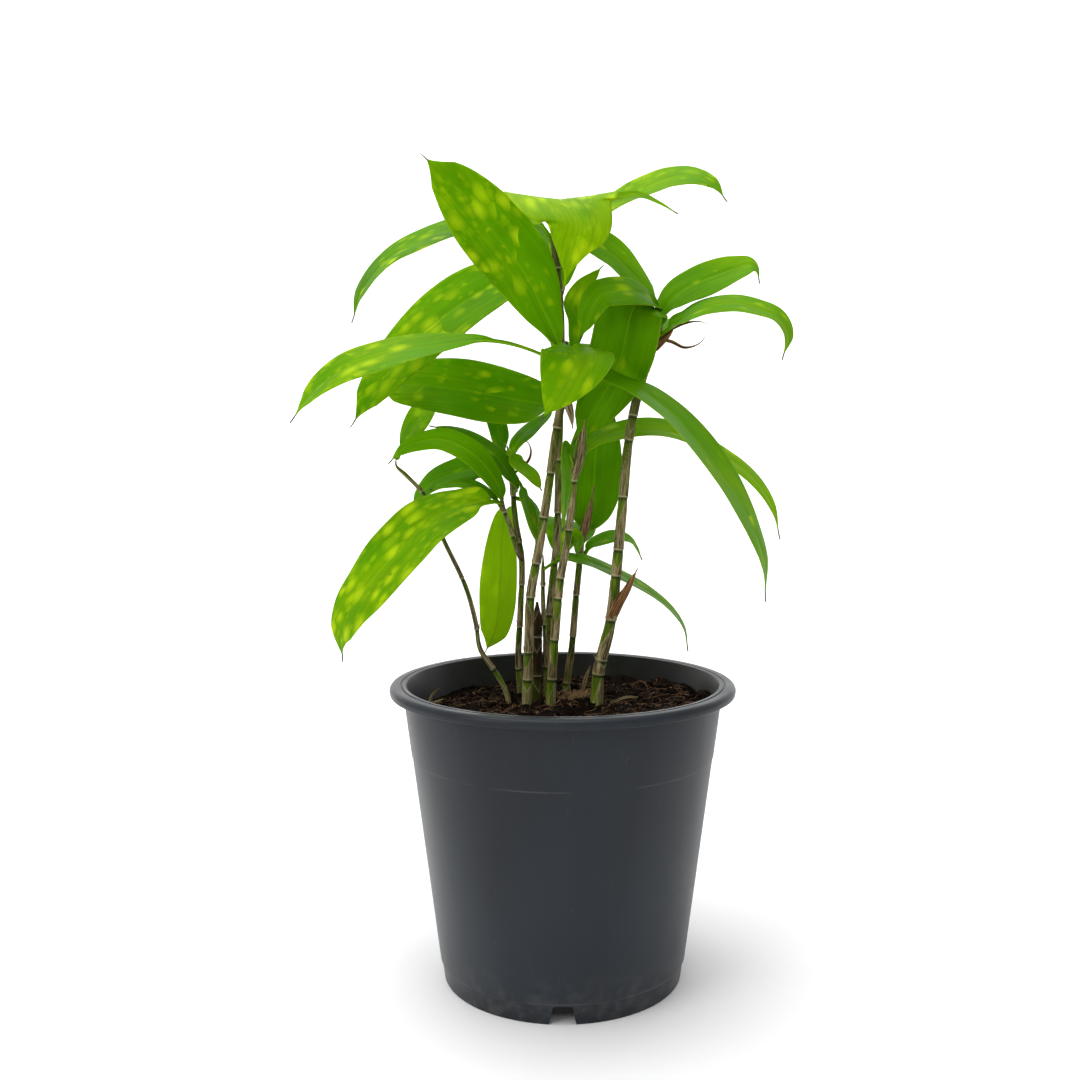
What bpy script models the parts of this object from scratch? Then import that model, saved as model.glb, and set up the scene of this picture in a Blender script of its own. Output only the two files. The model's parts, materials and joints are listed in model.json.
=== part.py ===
"""Gold dust dracaena in a plain tapered plastic pot: canes, leaves, soil and pot as separate solids."""

import math
import random
from collections import namedtuple

import bmesh
import bpy
from mathutils import Vector

# All sizes are in millimetres, in the pot's own frame: its axis is x = y = 0 and its foot stands at z = 0.
MM = 0.001
CLEARANCE = 0.35

# Pot
POT_HEIGHT = 147.0
RIM_RADIUS = 85.0
LIP_HEIGHT = 4.6
LIP_ROUND = 2.6
WALL = 1.7
FOOT_RADIUS = 59.9
TAPER = 0.126
BAND_BOTTOM = 112.5
BAND_STEP = 0.45
SKIRT_HEIGHT = 9.5
SKIRT_STEP = 0.7
FLOOR_BOTTOM = 3.5
FLOOR_TOP = 6.2
POT_SIDES = 48
NOTCHES = 4
NOTCH_WIDTH = 13.0
NOTCH_TOP_WIDTH = 9.0
NOTCH_HEIGHT = 9.0
DRAIN_HOLES = 6
DRAIN_RADIUS = 5.0
DRAIN_CIRCLE = 34.0

# Soil
SOIL_LEVEL = 134.0
SOIL_TILT = 0.05
SOIL_LUMPS = 1.3
SOIL_SIDES = 40
SOIL_RINGS = 5

# Canes
CANE_FOOT = 112.0
THICK_CANE = 2.0
RING_SWELL = 1.16
RING_HALF = 1.3
STATION_STEP = 16.0
BUD_LENGTH = 9.0
BUD_TIP = 0.28
HOLE_GAP = 0.45
HOLE_TOP = 142.0
SHEATH_ROWS = 4
SHEATH_THICKNESS = 0.9
FORKED = "forked"
BRANCH = "branch"

# Leaves
SEAT_GAP = 0.42
LEAF_THICKNESS = 0.7
LEAF_ROWS = 9
LEAF_COLUMNS = 4
SLIM_WIDTH = 13.0
STALK_LENGTH = 7.0
STALK_HALF = 1.25
TIP_HALF = 0.35
TAIL_SHARE = 0.03
PEAK = 0.42
POINT = 0.8
FOLD = 0.1
WAVE_HEIGHT = 0.03
WAVES = 1.6
PATH_SAMPLES = 72

# path: points up the middle of the cane; foot and top: its radii; rings: heights of the leaf scars.
Cane = namedtuple("Cane", "path foot top rings")
CANES = {
    "middle": Cane(
        ((-18, 10, CANE_FOOT), (-18, 10, 135), (-17, 9, 161), (-16, 8, 188), (-12, 7, 211), (-7, 6, 242),
         (-3, 5, 271), (0, 4, 288), (2, 4, 314)),
        2.7, 2.0, (146, 160, 188, 205, 228, 250, 272, 290),
    ),
    "tall": Cane(
        ((-7, 32, CANE_FOOT), (-7, 32, 137), (-7, 31, 173), (-5, 30, 195), (-3, 29, 215), (-2, 28, 258),
         (-1, 27, 291), (-1, 26, 330), (-5, 25, 372)),
        2.1, 1.7, (150, 176, 203, 229, 256, 282, 308, 334, 352),
    ),
    "right": Cane(
        ((17, 3, CANE_FOOT), (17, 3, 135), (18, 3, 151), (24, 4, 177), (27, 5, 205), (28, 5, 216),
         (30, 6, 239), (32, 7, 261), (36, 8, 284), (45, 10, 314), (49, 11, 328)),
        3.4, 2.2, (150, 157, 177, 199, 212, 238, 266, 278, 300),
    ),
    "front": Cane(
        ((-6, 6, CANE_FOOT), (-6, 6, 134), (-4, 5, 166), (-1, 4, 198), (2, 4, 214), (4, 3, 230),
         (6, 2, 251), (9, 2, 270)),
        2.6, 1.8, (147, 167, 188, 198, 222, 246),
    ),
    "rear": Cane(
        ((2, 36, CANE_FOOT), (2, 36, 135), (5, 34, 160), (7, 32, 185), (9, 30, 206), (10, 29, 222)),
        2.1, 1.6, (139, 164, 186, 204),
    ),
    "thin": Cane(
        ((-9, 23, CANE_FOOT), (-9, 23, 136), (-9, 22, 162), (-10, 21, 184), (-10, 20, 208)),
        1.3, 1.1, (150, 172, 192),
    ),
    "bent": Cane(
        ((-27, 17, CANE_FOOT), (-28, 17, 135), (-33, 17, 146), (-42, 17, 160), (-44, 18, 172), (-49, 18, 191),
         (-61, 19, 217), (-69, 19, 237), (-79, 20, 248), (-84, 20, 253), (-84, 20, 257)),
        1.5, 1.0, (150, 170, 196, 220, 240),
    ),
    "forked": Cane(
        ((-22, 29, CANE_FOOT), (-22, 29, 134), (-23, 28, 154), (-22, 27, 174), (-21, 26, 204), (-24, 24, 225),
         (-26, 22, 248), (-28, 21, 263)),
        1.8, 1.4, (148, 170, 192, 214, 238),
    ),
    "branch": Cane(
        ((-21, 26, 204), (-24, 21, 212), (-27, 17, 224), (-30, 15, 232), (-31, 14, 242)),
        1.2, 1.1, (218, 230),
    ),
    "stub": Cane(
        ((-14, 19, CANE_FOOT), (-14, 19, 136), (-13, 19, 160), (-13, 19, 184)),
        3.0, 2.4, (146, 166),
    ),
}

# height: where on its cane the stalk starts; rib: points along the middle of the blade, out to its tip;
# width: across the widest part; face: the way the upper side looks in the middle;
# twist: its turn from end to end; stalk: the length of the narrow part;
# peak: how far along the blade it is widest, from 0 to 1;
# point: below 1 for a full blade with a blunt end, above 1 for one that narrows early.
Leaf = namedtuple("Leaf", "height rib width face twist stalk peak point",
                  defaults=(0, STALK_LENGTH, PEAK, POINT))
LEAVES = {
    "tall": (
        Leaf(364, ((-11, 28, 373), (-24, 34, 376), (-39, 41, 377), (-58, 45, 374), (-74, 47, 369),
             (-87, 49, 363), (-98, 50, 353), (-106, 50, 341),
             (-111, 49, 327)), 30, (-0.3, -0.5, 0.81), peak=0.6, point=0.6),
        Leaf(357, ((-19, 25, 354), (-34, 24, 344), (-50, 22, 334), (-69, 19, 319), (-92, 16, 293),
             (-106, 14, 272)), 37, (-0.28, -0.82, 0.49), point=0.7),
        Leaf(367, ((-1, 8, 369), (-1, -12, 374), (-1, -32, 374), (1, -46, 369), (6, -54, 359),
             (4, -58, 349), (2, -60, 339),
             (0, -60, 327)), 51, (0, -0.23, 0.97), stalk=12, peak=0.46, point=1.8),
        Leaf(361, ((12, 27, 373), (23, 30, 383), (34, 31, 389), (44, 31, 393), (54, 31, 397), (66, 30, 398),
             (76, 29, 394), (83, 28, 385)), 23, (-0.3, -0.58, 0.76), peak=0.62),
        Leaf(369, ((6, 14, 377), (17, 5, 380), (27, 0, 381), (37, -3, 382), (46, -4, 378),
             (55, -4, 373)), 16, (-0.04, 0.08, 1)),
        Leaf(350, ((7, 36, 367), (12, 37, 368), (19, 40, 365), (26, 43, 361), (34, 45, 354), (43, 47, 345),
             (51, 48, 336)), 26, (0.58, -0.63, 0.52), peak=0.52),
        Leaf(366, ((-7, 42, 372), (-7, 60, 370), (-4, 75, 360),
             (-1, 82, 344)), 32, (0.26, 0.33, 0.91), stalk=14),
        Leaf(304, ((2, 38, 314), (5, 56, 316), (8, 70, 304), (10, 79, 286)), 28, (0.31, 0.43, 0.85)),
        Leaf(285, ((-7, 30, 284), (-21, 33, 286), (-37, 35, 289), (-56, 36, 292), (-71, 37, 294),
             (-84, 37, 294), (-99, 36, 295)), 36, (0.04, -0.86, 0.52), stalk=3, peak=0.45, point=0.5),
    ),
    "middle": (
        Leaf(304, ((-5, -3, 319), (-9, -2, 327), (-18, 0, 345), (-29, 2, 360), (-40, 2, 373), (-52, 0, 387),
             (-68, -3, 402)), 35, (0.05, -0.99, 0.15), peak=0.54),
        Leaf(302, ((-16, 1, 309), (-28, -3, 312), (-42, -5, 313), (-59, -6, 311), (-73, -6, 309),
             (-86, -6, 306), (-104, -5, 300), (-117, -3, 292), (-126, -1, 283),
             (-133, 0, 274)), 28, (-0.14, -0.58, 0.8), twist=10, stalk=32, peak=0.58, point=0.8),
        Leaf(308, ((4, -8, 310), (6, -20, 307), (7, -28, 304), (5, -34, 299), (0, -38, 290), (-5, -40, 282),
             (-10, -40, 274)), 34, (0.08, -0.63, 0.77), peak=0.45, point=1.25),
        Leaf(303, ((7, 2, 323), (5, 3, 332), (9, 2, 340), (15, 1, 345),
             (20, 1, 350)), 11, (0.51, -0.82, 0.27)),
        Leaf(298, ((14, -4, 299), (26, -10, 294), (37, -15, 289), (50, -18, 279), (60, -21, 268),
             (71, -22, 254), (81, -21, 240), (90, -19, 224), (96, -16, 208),
             (98, -13, 188)), 30, (0.69, -0.46, 0.56), peak=0.46, point=0.7),
    ),
    "right": (
        Leaf(320, ((52, 14, 332), (59, 16, 339), (69, 18, 344), (79, 20, 348), (87, 21, 351), (94, 22, 353),
             (97, 23, 351), (99, 24, 344)), 23, (-0.13, -0.74, 0.66), peak=0.46),
        Leaf(316, ((62, 3, 326), (72, 1, 330), (83, -1, 331), (94, -3, 328), (103, -4, 324), (108, -4, 316),
             (106, -2, 304)), 24, (0.05, -0.45, 0.89), point=0.7),
        Leaf(321, ((45, 5, 331), (39, -3, 335), (32, -10, 336), (25, -15, 335), (18, -17, 333),
             (14, -17, 328), (11, -15, 321), (8, -12, 312)), 20, (0.36, -0.65, 0.67)),
        Leaf(317, ((44, 6, 329), (41, 1, 332), (36, -3, 331), (33, -4, 326), (31, -3, 318), (29, 2, 308),
             (24, 7, 295), (16, 9, 281),
             (5, 10, 264)), 34, (-0.43, -0.86, -0.27), stalk=4, peak=0.42, point=0.7),
        Leaf(310, ((44, 28, 322), (40, 48, 325), (37, 64, 314), (35, 76, 296)), 28, (-0.19, 0.21, 0.96)),
    ),
    "front": (
        Leaf(256, ((19, 13, 266), (34, 20, 271), (49, 23, 271), (64, 24, 267), (77, 22, 260), (91, 20, 251),
             (100, 17, 241), (106, 15, 230), (109, 13, 216)), 21, (0.35, -0.44, 0.83)),
        Leaf(252, ((2, -5, 262), (1, -9, 258), (1, -11, 244), (0, -10, 222)), 11, (0.92, -0.4, 0.04)),
        Leaf(207, ((4, 8, 218), (7, 9, 217), (7, 9, 208)), 9, (0.17, -0.81, 0.55)),
    ),
    "rear": (
        Leaf(213, ((14, 32, 225), (16, 34, 240), (17, 36, 257), (19, 39, 274),
             (22, 42, 290)), 30, (-0.26, -0.96, 0.12), point=0.7),
        Leaf(203, ((15, 34, 211), (21, 36, 214), (28, 38, 216), (35, 40, 214), (39, 41, 209),
             (42, 41, 203)), 12, (-0.03, -0.46, 0.89)),
        Leaf(206, ((6, 44, 218), (3, 60, 222), (0, 74, 212), (-2, 80, 198)), 28, (0.17, 0.19, 0.97)),
    ),
    "thin": (
        Leaf(200, ((-1, 18, 205), (9, 17, 205), (21, 20, 201), (33, 24, 195), (45, 26, 187), (56, 27, 178),
             (63, 27, 168), (65, 26, 157)), 20, (0.55, -0.15, 0.82)),
    ),
    "forked": (
        Leaf(256, ((-32, 30, 263), (-33, 37, 270), (-36, 44, 279), (-39, 50, 289),
             (-42, 54, 298)), 11, (0.29, -0.71, 0.64)),
        Leaf(251, ((-24, 25, 263), (-20, 31, 268), (-16, 40, 272), (-9, 46, 278),
             (-4, 50, 285)), 10, (-0.01, -0.34, 0.94)),
        Leaf(258, ((-26, 17, 260), (-22, 12, 254), (-16, 8, 248), (-10, 5, 241)), 14, (0.47, -0.42, 0.78)),
        Leaf(240, ((-23, 15, 242), (-28, 15, 250), (-33, 15, 257), (-40, 17, 263), (-49, 17, 268),
             (-58, 17, 271), (-67, 17, 273)), 13, (0.4, -0.55, 0.73)),
        Leaf(247, ((-22, 19, 244), (-19, 16, 236), (-16, 14, 226),
             (-12, 12, 213)), 12, (0.83, -0.45, 0.32)),
        Leaf(236, ((-19, 28, 234), (-15, 30, 229), (-13, 30, 220),
             (-13, 29, 208)), 14, (0.91, -0.37, 0.19)),
    ),
    "branch": (
        Leaf(236, ((-32, 8, 243), (-37, 4, 251), (-42, 1, 257), (-49, 0, 262), (-60, 1, 266), (-72, 2, 264),
             (-80, 3, 260), (-86, 4, 254)), 14, (0.19, -0.83, 0.53), stalk=1, peak=0.45, point=0.65),
        Leaf(234, ((-36, 8, 235), (-44, 6, 235), (-54, 2, 232), (-66, -3, 225), (-76, -6, 215),
             (-86, -8, 205), (-95, -8, 194), (-103, -8, 183), (-108, -6, 170),
             (-108, -4, 157)), 37, (-0.41, -0.71, 0.57), peak=0.46, point=0.65),
        Leaf(237, ((-39, 25, 250), (-48, 31, 250), (-57, 34, 248), (-66, 35, 245), (-72, 35, 240),
             (-76, 35, 235), (-78, 34, 230)), 22, (-0.36, -0.59, 0.72), stalk=12),
        Leaf(229, ((-36, 17, 238), (-43, 17, 242), (-51, 16, 244), (-59, 17, 243),
             (-67, 18, 241)), 9, (0.33, -0.55, 0.77)),
        Leaf(228, ((-30, 34, 229), (-32, 37, 214), (-33, 38, 193), (-34, 38, 177), (-36, 37, 165),
             (-41, 36, 154)), 21, (-0.41, 0.91, 0.04), peak=0.62, point=0.5),
    ),
    "bent": (
        Leaf(256, ((-82, 24, 261), (-79, 32, 268), (-75, 42, 277), (-70, 52, 288),
             (-65, 58, 298)), 14, (0.01, -0.7, 0.72), peak=0.5),
    ),
}

# Dried sheaths, fused to their canes: where each starts, points out to its tip, its width and
# the way it faces.
SHEATHS = {
    "middle": (Leaf(290, ((2, 0, 285), (4, -2, 278), (5, -2, 271)), 4.5, (0, -1, 0.3), 0, 1, 0.3, 0.9),),
    "front": (Leaf(246, ((8, -1, 254), (10, -1, 264), (11, 0, 276)), 5, (0.4, -1, 0.1), 0, 1, 0.3, 0.9),),
    "rear": (Leaf(213, ((12, 26, 222), (14, 23, 231), (16, 21, 243)), 5, (0.3, -1, 0.1), 0, 1, 0.3, 0.9),),
    "right": (Leaf(173, ((28, 1, 184), (33, 0, 194), (37, 0, 203)), 6, (0.6, -0.8, -0.2), 0, 1, 0.25, 0.9),),
}

# Dried thread-like leaf tips, fused to their canes: points out from the middle of the cane.
TENDRILS = {
    "right": (((47, 10, 317), (53, 10, 320), (60, 11, 323), (67, 11, 324), (73, 10, 322)),
              ((46, 10, 315), (53, 8, 314), (60, 8, 311), (67, 8, 313), (71, 8, 318))),
    "forked": (((-26, 22, 248), (-21, 20, 252), (-17, 19, 256), (-16, 19, 261), (-18, 19, 265),
                (-21, 19, 264)),),
}
TENDRIL_FOOT = 0.75
TENDRIL_TIP = 0.35


def smooth_path(points, count):
    """Evenly spaced points on a centripetal Catmull-Rom curve through the given ones."""
    knots = [Vector(p) for p in points]
    knots = [2 * knots[0] - knots[1]] + knots + [2 * knots[-1] - knots[-2]]
    fine = []
    for a, b, c, d in zip(knots, knots[1:], knots[2:], knots[3:]):
        t0 = 0.0
        t1 = t0 + (b - a).length ** 0.5
        t2 = t1 + (c - b).length ** 0.5
        t3 = t2 + (d - c).length ** 0.5
        for step in range(16):
            t = t1 + (t2 - t1) * step / 16
            ab = a.lerp(b, (t - t0) / (t1 - t0))
            bc = b.lerp(c, (t - t1) / (t2 - t1))
            cd = c.lerp(d, (t - t2) / (t3 - t2))
            abc = ab.lerp(bc, (t - t0) / (t2 - t0))
            bcd = bc.lerp(cd, (t - t1) / (t3 - t1))
            fine.append(abc.lerp(bcd, (t - t1) / (t2 - t1)))
    fine.append(knots[-2].copy())
    reach = [0.0]
    for a, b in zip(fine, fine[1:]):
        reach.append(reach[-1] + (b - a).length)
    even = []
    index = 0
    for step in range(count):
        goal = reach[-1] * step / (count - 1)
        while index < len(fine) - 2 and reach[index + 1] < goal:
            index += 1
        share = (goal - reach[index]) / (reach[index + 1] - reach[index])
        even.append(fine[index].lerp(fine[index + 1], share))
    return even


def sample(values, share):
    """The value at a share of the way along an evenly spaced list."""
    place = min(max(share, 0.0), 1.0) * (len(values) - 1)
    index = min(int(place), len(values) - 2)
    return values[index].lerp(values[index + 1], place - index)


def at_height(line, height):
    """The point of a rising line at this height."""
    for a, b in zip(line, line[1:]):
        if a.z <= height <= b.z:
            return a.lerp(b, (height - a.z) / (b.z - a.z))
    return line[-1].copy()


def cane_radius(cane, height):
    """Thick at the soil, then soon near the radius that it has at the top."""
    low, high = cane.path[0][2], cane.path[-1][2]
    left = 1 - min(max((height - low) / (high - low), 0.0), 1.0)
    return cane.top + (cane.foot - cane.top) * left ** 2


def material(name, colour, roughness):
    made = bpy.data.materials.new(name)
    made.use_nodes = True
    shader = made.node_tree.nodes["Principled BSDF"]
    shader.inputs["Base Color"].default_value = (*colour, 1)
    shader.inputs["Roughness"].default_value = roughness
    shader.inputs["Metallic"].default_value = 0.0
    return made


def add_object(name, data, finish, collection, parent=None):
    made = bpy.data.objects.new(name, data)
    made.parent = parent
    if finish:
        data.materials.clear()
        data.materials.append(finish)
    collection.objects.link(made)
    return made


def baked(obj, name):
    """The object with its modifiers and curves turned into a plain mesh, its caps welded."""
    bpy.context.view_layer.update()
    evaluated = obj.evaluated_get(bpy.context.evaluated_depsgraph_get())
    mesh = bpy.data.meshes.new_from_object(evaluated)
    mesh.name = name
    bm = bmesh.new()
    bm.from_mesh(mesh)
    bmesh.ops.remove_doubles(bm, verts=bm.verts, dist=0.00002)
    bmesh.ops.recalc_face_normals(bm, faces=bm.faces)
    bm.to_mesh(mesh)
    bm.free()
    return mesh


def combine(obj, other, operation, name):
    """Joins the other object to this one, or cuts it away, for good."""
    step = obj.modifiers.new(name, "BOOLEAN")
    step.operation = operation
    step.solver = "EXACT"
    if isinstance(other, bpy.types.Collection):
        step.operand_type = "COLLECTION"
        step.collection = other
    else:
        step.object = other
    bpy.context.view_layer.update()
    evaluated = obj.evaluated_get(bpy.context.evaluated_depsgraph_get())
    finished = bpy.data.meshes.new_from_object(evaluated)
    obj.modifiers.clear()
    obj.data = finished


def turned(name, profile, sides, finish, collection, parent=None):
    """A closed profile of (radius, height) pairs, spun round the Z axis."""
    bm = bmesh.new()
    corners = [bm.verts.new((radius * MM, 0, height * MM)) for radius, height in profile]
    for a, b in zip(corners, corners[1:] + corners[:1]):
        if a.co.x > 0 or b.co.x > 0:
            bm.edges.new((a, b))
    mesh = bpy.data.meshes.new(name)
    bm.to_mesh(mesh)
    bm.free()
    made = add_object(name, mesh, finish, collection, parent)
    screw = made.modifiers.new("Turn", "SCREW")
    screw.steps = screw.render_steps = sides
    screw.use_merge_vertices = True
    screw.merge_threshold = 0.00005
    return made


def arc(centre_radius, centre_height, radius, start, end, steps):
    """Points of a rounded profile corner, angles in degrees from the outward direction."""
    points = []
    for step in range(steps + 1):
        angle = math.radians(start + (end - start) * step / steps)
        points.append((centre_radius + radius * math.cos(angle), centre_height + radius * math.sin(angle)))
    return points


def wall_radius(height):
    """The outer radius of the plain tapered wall."""
    return FOOT_RADIUS + TAPER * height


def tube(name, line, radii, resolution, collection):
    """A closed round bar along a line, with its own radius at each point."""
    curve = bpy.data.curves.new(name, "CURVE")
    curve.dimensions = "3D"
    curve.bevel_depth = MM
    curve.bevel_resolution = resolution
    curve.use_fill_caps = True
    spline = curve.splines.new("POLY")
    spline.points.add(len(line) - 1)
    for point, place, radius in zip(spline.points, line, radii):
        point.co = (*(place * MM), 1)
        point.radius = radius
    guide = add_object(name + "_guide", curve, None, collection)
    mesh = baked(guide, name)
    bpy.data.objects.remove(guide)
    return mesh


def stations(cane, line):
    """Heights along a cane and its swelling there: even steps, a ring at each leaf scar, a bud at the tip."""
    low, high = line[0].z, line[-1].z
    heights = {low: 1.0, high: BUD_TIP, high - BUD_LENGTH * 0.4: 0.75, high - BUD_LENGTH: 1.0}
    for ring in cane.rings:
        if low + 3 < ring < high - BUD_LENGTH - 3:
            heights.update({ring - RING_HALF: 1.0, ring: RING_SWELL, ring + RING_HALF: 1.0})
    step = low + STATION_STEP
    while step < high - BUD_LENGTH - STATION_STEP / 2:
        if min(abs(step - kept) for kept in heights) > STATION_STEP / 2:
            heights[step] = 1.0
        step += STATION_STEP
    return sorted(heights.items())


def surface_radius(cane, line, height):
    """The radius of the finished cane at a height, rings and bud included."""
    steps = stations(cane, line)
    for (low, swell), (high, next_swell) in zip(steps, steps[1:]):
        if low <= height <= high:
            swell += (next_swell - swell) * (height - low) / (high - low)
            return cane_radius(cane, height) * swell
    return cane.top


def half_width(share, leaf, stalk):
    """Half the blade's width: a narrow stalk, a lance-shaped blade and a thin drawn-out tail."""
    blade = (share - stalk) / (1 - stalk - TAIL_SHARE)
    if blade <= 0:
        return STALK_HALF
    if blade >= 1:
        return TIP_HALF
    base = leaf.point * leaf.peak / (1 - leaf.peak)
    full = (blade / leaf.peak) ** base * ((1 - blade) / (1 - leaf.peak)) ** leaf.point
    return max(leaf.width / 2 * full, STALK_HALF * (1 - blade), TIP_HALF)


def frames(line, face, twist):
    """The upward and sideways directions at each point of a rib: the face turns with it, then twists."""
    count = len(line)
    middle = count // 2
    tangents = []
    for index in range(count):
        ahead, behind = line[min(index + 1, count - 1)], line[max(index - 1, 0)]
        tangents.append((ahead - behind).normalized())
    normals = [Vector(face)] * count
    for index in list(range(middle, count)) + list(range(middle - 1, -1, -1)):
        tangent = tangents[index]
        near = normals[index] if index == middle else normals[index - 1 if index > middle else index + 1]
        normals[index] = (near - tangent * near.dot(tangent)).normalized()
    sides = [n.cross(t).normalized() for n, t in zip(normals, tangents)]
    for index in range(count):
        turn = math.radians(twist) * (index - middle) / (count - 1)
        n, side = normals[index], sides[index]
        normals[index] = n * math.cos(turn) + side * math.sin(turn)
        sides[index] = side * math.cos(turn) - n * math.sin(turn)
    return normals, sides


def blade_mesh(name, line, leaf, phase, rows=LEAF_ROWS, columns=LEAF_COLUMNS):
    """One open sheet, mapped from a flat grid onto the rib, split into triangles."""
    normals, sides = frames(line, leaf.face, leaf.twist)
    length = sum((b - a).length for a, b in zip(line, line[1:]))
    stalk = leaf.stalk / length
    bm = bmesh.new()
    bmesh.ops.create_grid(bm, x_segments=rows, y_segments=columns, size=0.5)
    for vert in bm.verts:
        even = vert.co.x + 0.5
        share = even - 0.05 * math.sin(2 * math.pi * even)
        across = 2 * vert.co.y
        half = half_width(share, leaf, stalk)
        wave = WAVE_HEIGHT * leaf.width * math.sin(2 * math.pi * WAVES * share + phase) * across ** 2
        lift = half * abs(across) * FOLD + wave * math.sin(math.pi * share)
        place = sample(line, share) + sample(sides, share) * half * across + sample(normals, share) * lift
        vert.co = place * MM
    bmesh.ops.triangulate(bm, faces=bm.faces)
    mesh = bpy.data.meshes.new(name)
    bm.to_mesh(mesh)
    bm.free()
    return mesh


def thicken(obj, thickness):
    sheet = obj.modifiers.new("Thickness", "SOLIDIFY")
    sheet.thickness = thickness * MM
    sheet.offset = 0.0


def make_pot(finish, collection, cutters, parent):
    lip_bottom = POT_HEIGHT - LIP_HEIGHT
    band_outer = wall_radius(lip_bottom) + BAND_STEP
    inner_top = wall_radius(POT_HEIGHT) + BAND_STEP - WALL
    outside = arc(RIM_RADIUS - LIP_ROUND, POT_HEIGHT - LIP_ROUND, LIP_ROUND, 90, 0, 2)
    outside += [
        (RIM_RADIUS - 0.4, lip_bottom),
        (band_outer, lip_bottom),
        (wall_radius(BAND_BOTTOM) + BAND_STEP, BAND_BOTTOM),
        (wall_radius(BAND_BOTTOM), BAND_BOTTOM - 1.0),
        (wall_radius(SKIRT_HEIGHT + 0.5), SKIRT_HEIGHT + 0.5),
        (wall_radius(SKIRT_HEIGHT) - SKIRT_STEP, SKIRT_HEIGHT),
        (wall_radius(0) - SKIRT_STEP, 0.0),
        (wall_radius(0) - SKIRT_STEP - WALL, 0.0),
    ]
    inside = [
        (wall_radius(FLOOR_BOTTOM) - SKIRT_STEP - WALL, FLOOR_BOTTOM),
        (0.0, FLOOR_BOTTOM),
        (0.0, FLOOR_TOP),
        (wall_radius(FLOOR_TOP) - WALL - 2.0, FLOOR_TOP),
        (wall_radius(FLOOR_TOP + 2.0) - WALL, FLOOR_TOP + 2.0),
        (inner_top - 0.6, POT_HEIGHT - 0.8),
        (inner_top + 0.2, POT_HEIGHT),
    ]
    raw = turned("pot_blank", outside + inside, POT_SIDES, finish, cutters)
    pot = add_object("pot", baked(raw, "pot"), finish, collection, parent)
    bpy.data.objects.remove(raw)
    openings = bpy.data.collections.new("pot openings")
    cutters.children.link(openings)
    for index in range(NOTCHES):
        add_notch(openings, -math.pi / 2 + index * math.tau / NOTCHES)
    for index in range(DRAIN_HOLES):
        angle = math.tau * (index + 0.5) / DRAIN_HOLES
        add_drain(openings, DRAIN_CIRCLE * math.cos(angle), DRAIN_CIRCLE * math.sin(angle))
    add_drain(openings, 0.0, 0.0)
    combine(pot, openings, "DIFFERENCE", "Drainage")
    return pot


def add_notch(collection, angle):
    """A drainage slot through the skirt, narrower at its top."""
    bm = bmesh.new()
    bmesh.ops.create_cube(bm, size=1.0)
    for vert in bm.verts:
        wide = NOTCH_TOP_WIDTH if vert.co.z > 0 else NOTCH_WIDTH
        reach = FOOT_RADIUS + 8.0 if vert.co.x > 0 else FOOT_RADIUS - 5.0
        across = wide * vert.co.y
        height = NOTCH_HEIGHT if vert.co.z > 0 else -1.0
        vert.co = Vector((reach * math.cos(angle) - across * math.sin(angle),
                          reach * math.sin(angle) + across * math.cos(angle), height)) * MM
    bmesh.ops.recalc_face_normals(bm, faces=bm.faces)
    add_cutter("notch", bm, collection)


def add_drain(collection, x, y):
    bm = bmesh.new()
    bmesh.ops.create_cone(bm, cap_ends=True, segments=12, radius1=DRAIN_RADIUS * MM,
                          radius2=DRAIN_RADIUS * MM, depth=12.0 * MM)
    bmesh.ops.translate(bm, verts=bm.verts, vec=Vector((x, y, (FLOOR_BOTTOM + FLOOR_TOP) / 2)) * MM)
    add_cutter("drain", bm, collection)


def add_cutter(name, bm, collection):
    mesh = bpy.data.meshes.new(name)
    bm.to_mesh(mesh)
    bm.free()
    cutter = add_object(name, mesh, None, collection)
    cutter.hide_render = True
    cutter.display_type = "WIRE"
    return cutter


def soil_height(x, y):
    """The uneven top of the soil, lower on the left, in millimetres."""
    lumps = math.sin(x * 0.11 + 1.0) * math.cos(y * 0.13 - 0.6) + 0.6 * math.sin(x * 0.23 - y * 0.19)
    return SOIL_LEVEL + SOIL_TILT * x + SOIL_LUMPS * lumps


def make_soil(finish, collection, cutters, parent, canes):
    gap = 2 * CLEARANCE
    bottom = FLOOR_TOP + CLEARANCE + 0.15
    top_radius = wall_radius(SOIL_LEVEL) - WALL - gap
    profile = [(top_radius * (index + 1) / SOIL_RINGS, SOIL_LEVEL) for index in range(SOIL_RINGS)]
    profile += [
        (wall_radius(BAND_BOTTOM) - WALL - gap, BAND_BOTTOM),
        (wall_radius(bottom + 3.0) - WALL - gap, bottom + 3.0),
        (wall_radius(bottom) - WALL - gap - 3.0, bottom),
        (0.0, bottom),
    ]
    raw = turned("soil_blank", [(0.0, SOIL_LEVEL)] + profile, SOIL_SIDES, finish, cutters)
    soil = add_object("soil", baked(raw, "soil"), finish, collection, parent)
    bpy.data.objects.remove(raw)
    for vert in soil.data.vertices:
        if vert.co.z > (SOIL_LEVEL - 1.0) * MM:
            vert.co.z = soil_height(vert.co.x / MM, vert.co.y / MM) * MM
    holes = bpy.data.collections.new("cane holes")
    cutters.children.link(holes)
    for name, cane in canes.items():
        if cane.path[0][2] > CANE_FOOT:
            continue
        line = smooth_path(cane.path, PATH_SAMPLES)
        heights = [height for height, swell in stations(cane, line)]
        low = [height for height in heights if height < HOLE_TOP]
        kept = [at_height(line, height) for height in heights[:len(low) + 1]]
        kept[0] -= Vector((0, 0, 0.5))
        radii = [cane.foot * RING_SWELL + HOLE_GAP] * len(kept)
        mesh = tube("hole_" + name, kept, radii, bevel_resolution(cane), cutters)
        cutter = add_object("hole_" + name, mesh, None, holes)
        cutter.hide_render = True
        cutter.display_type = "WIRE"
    combine(soil, holes, "DIFFERENCE", "Cane holes")
    return soil


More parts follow.
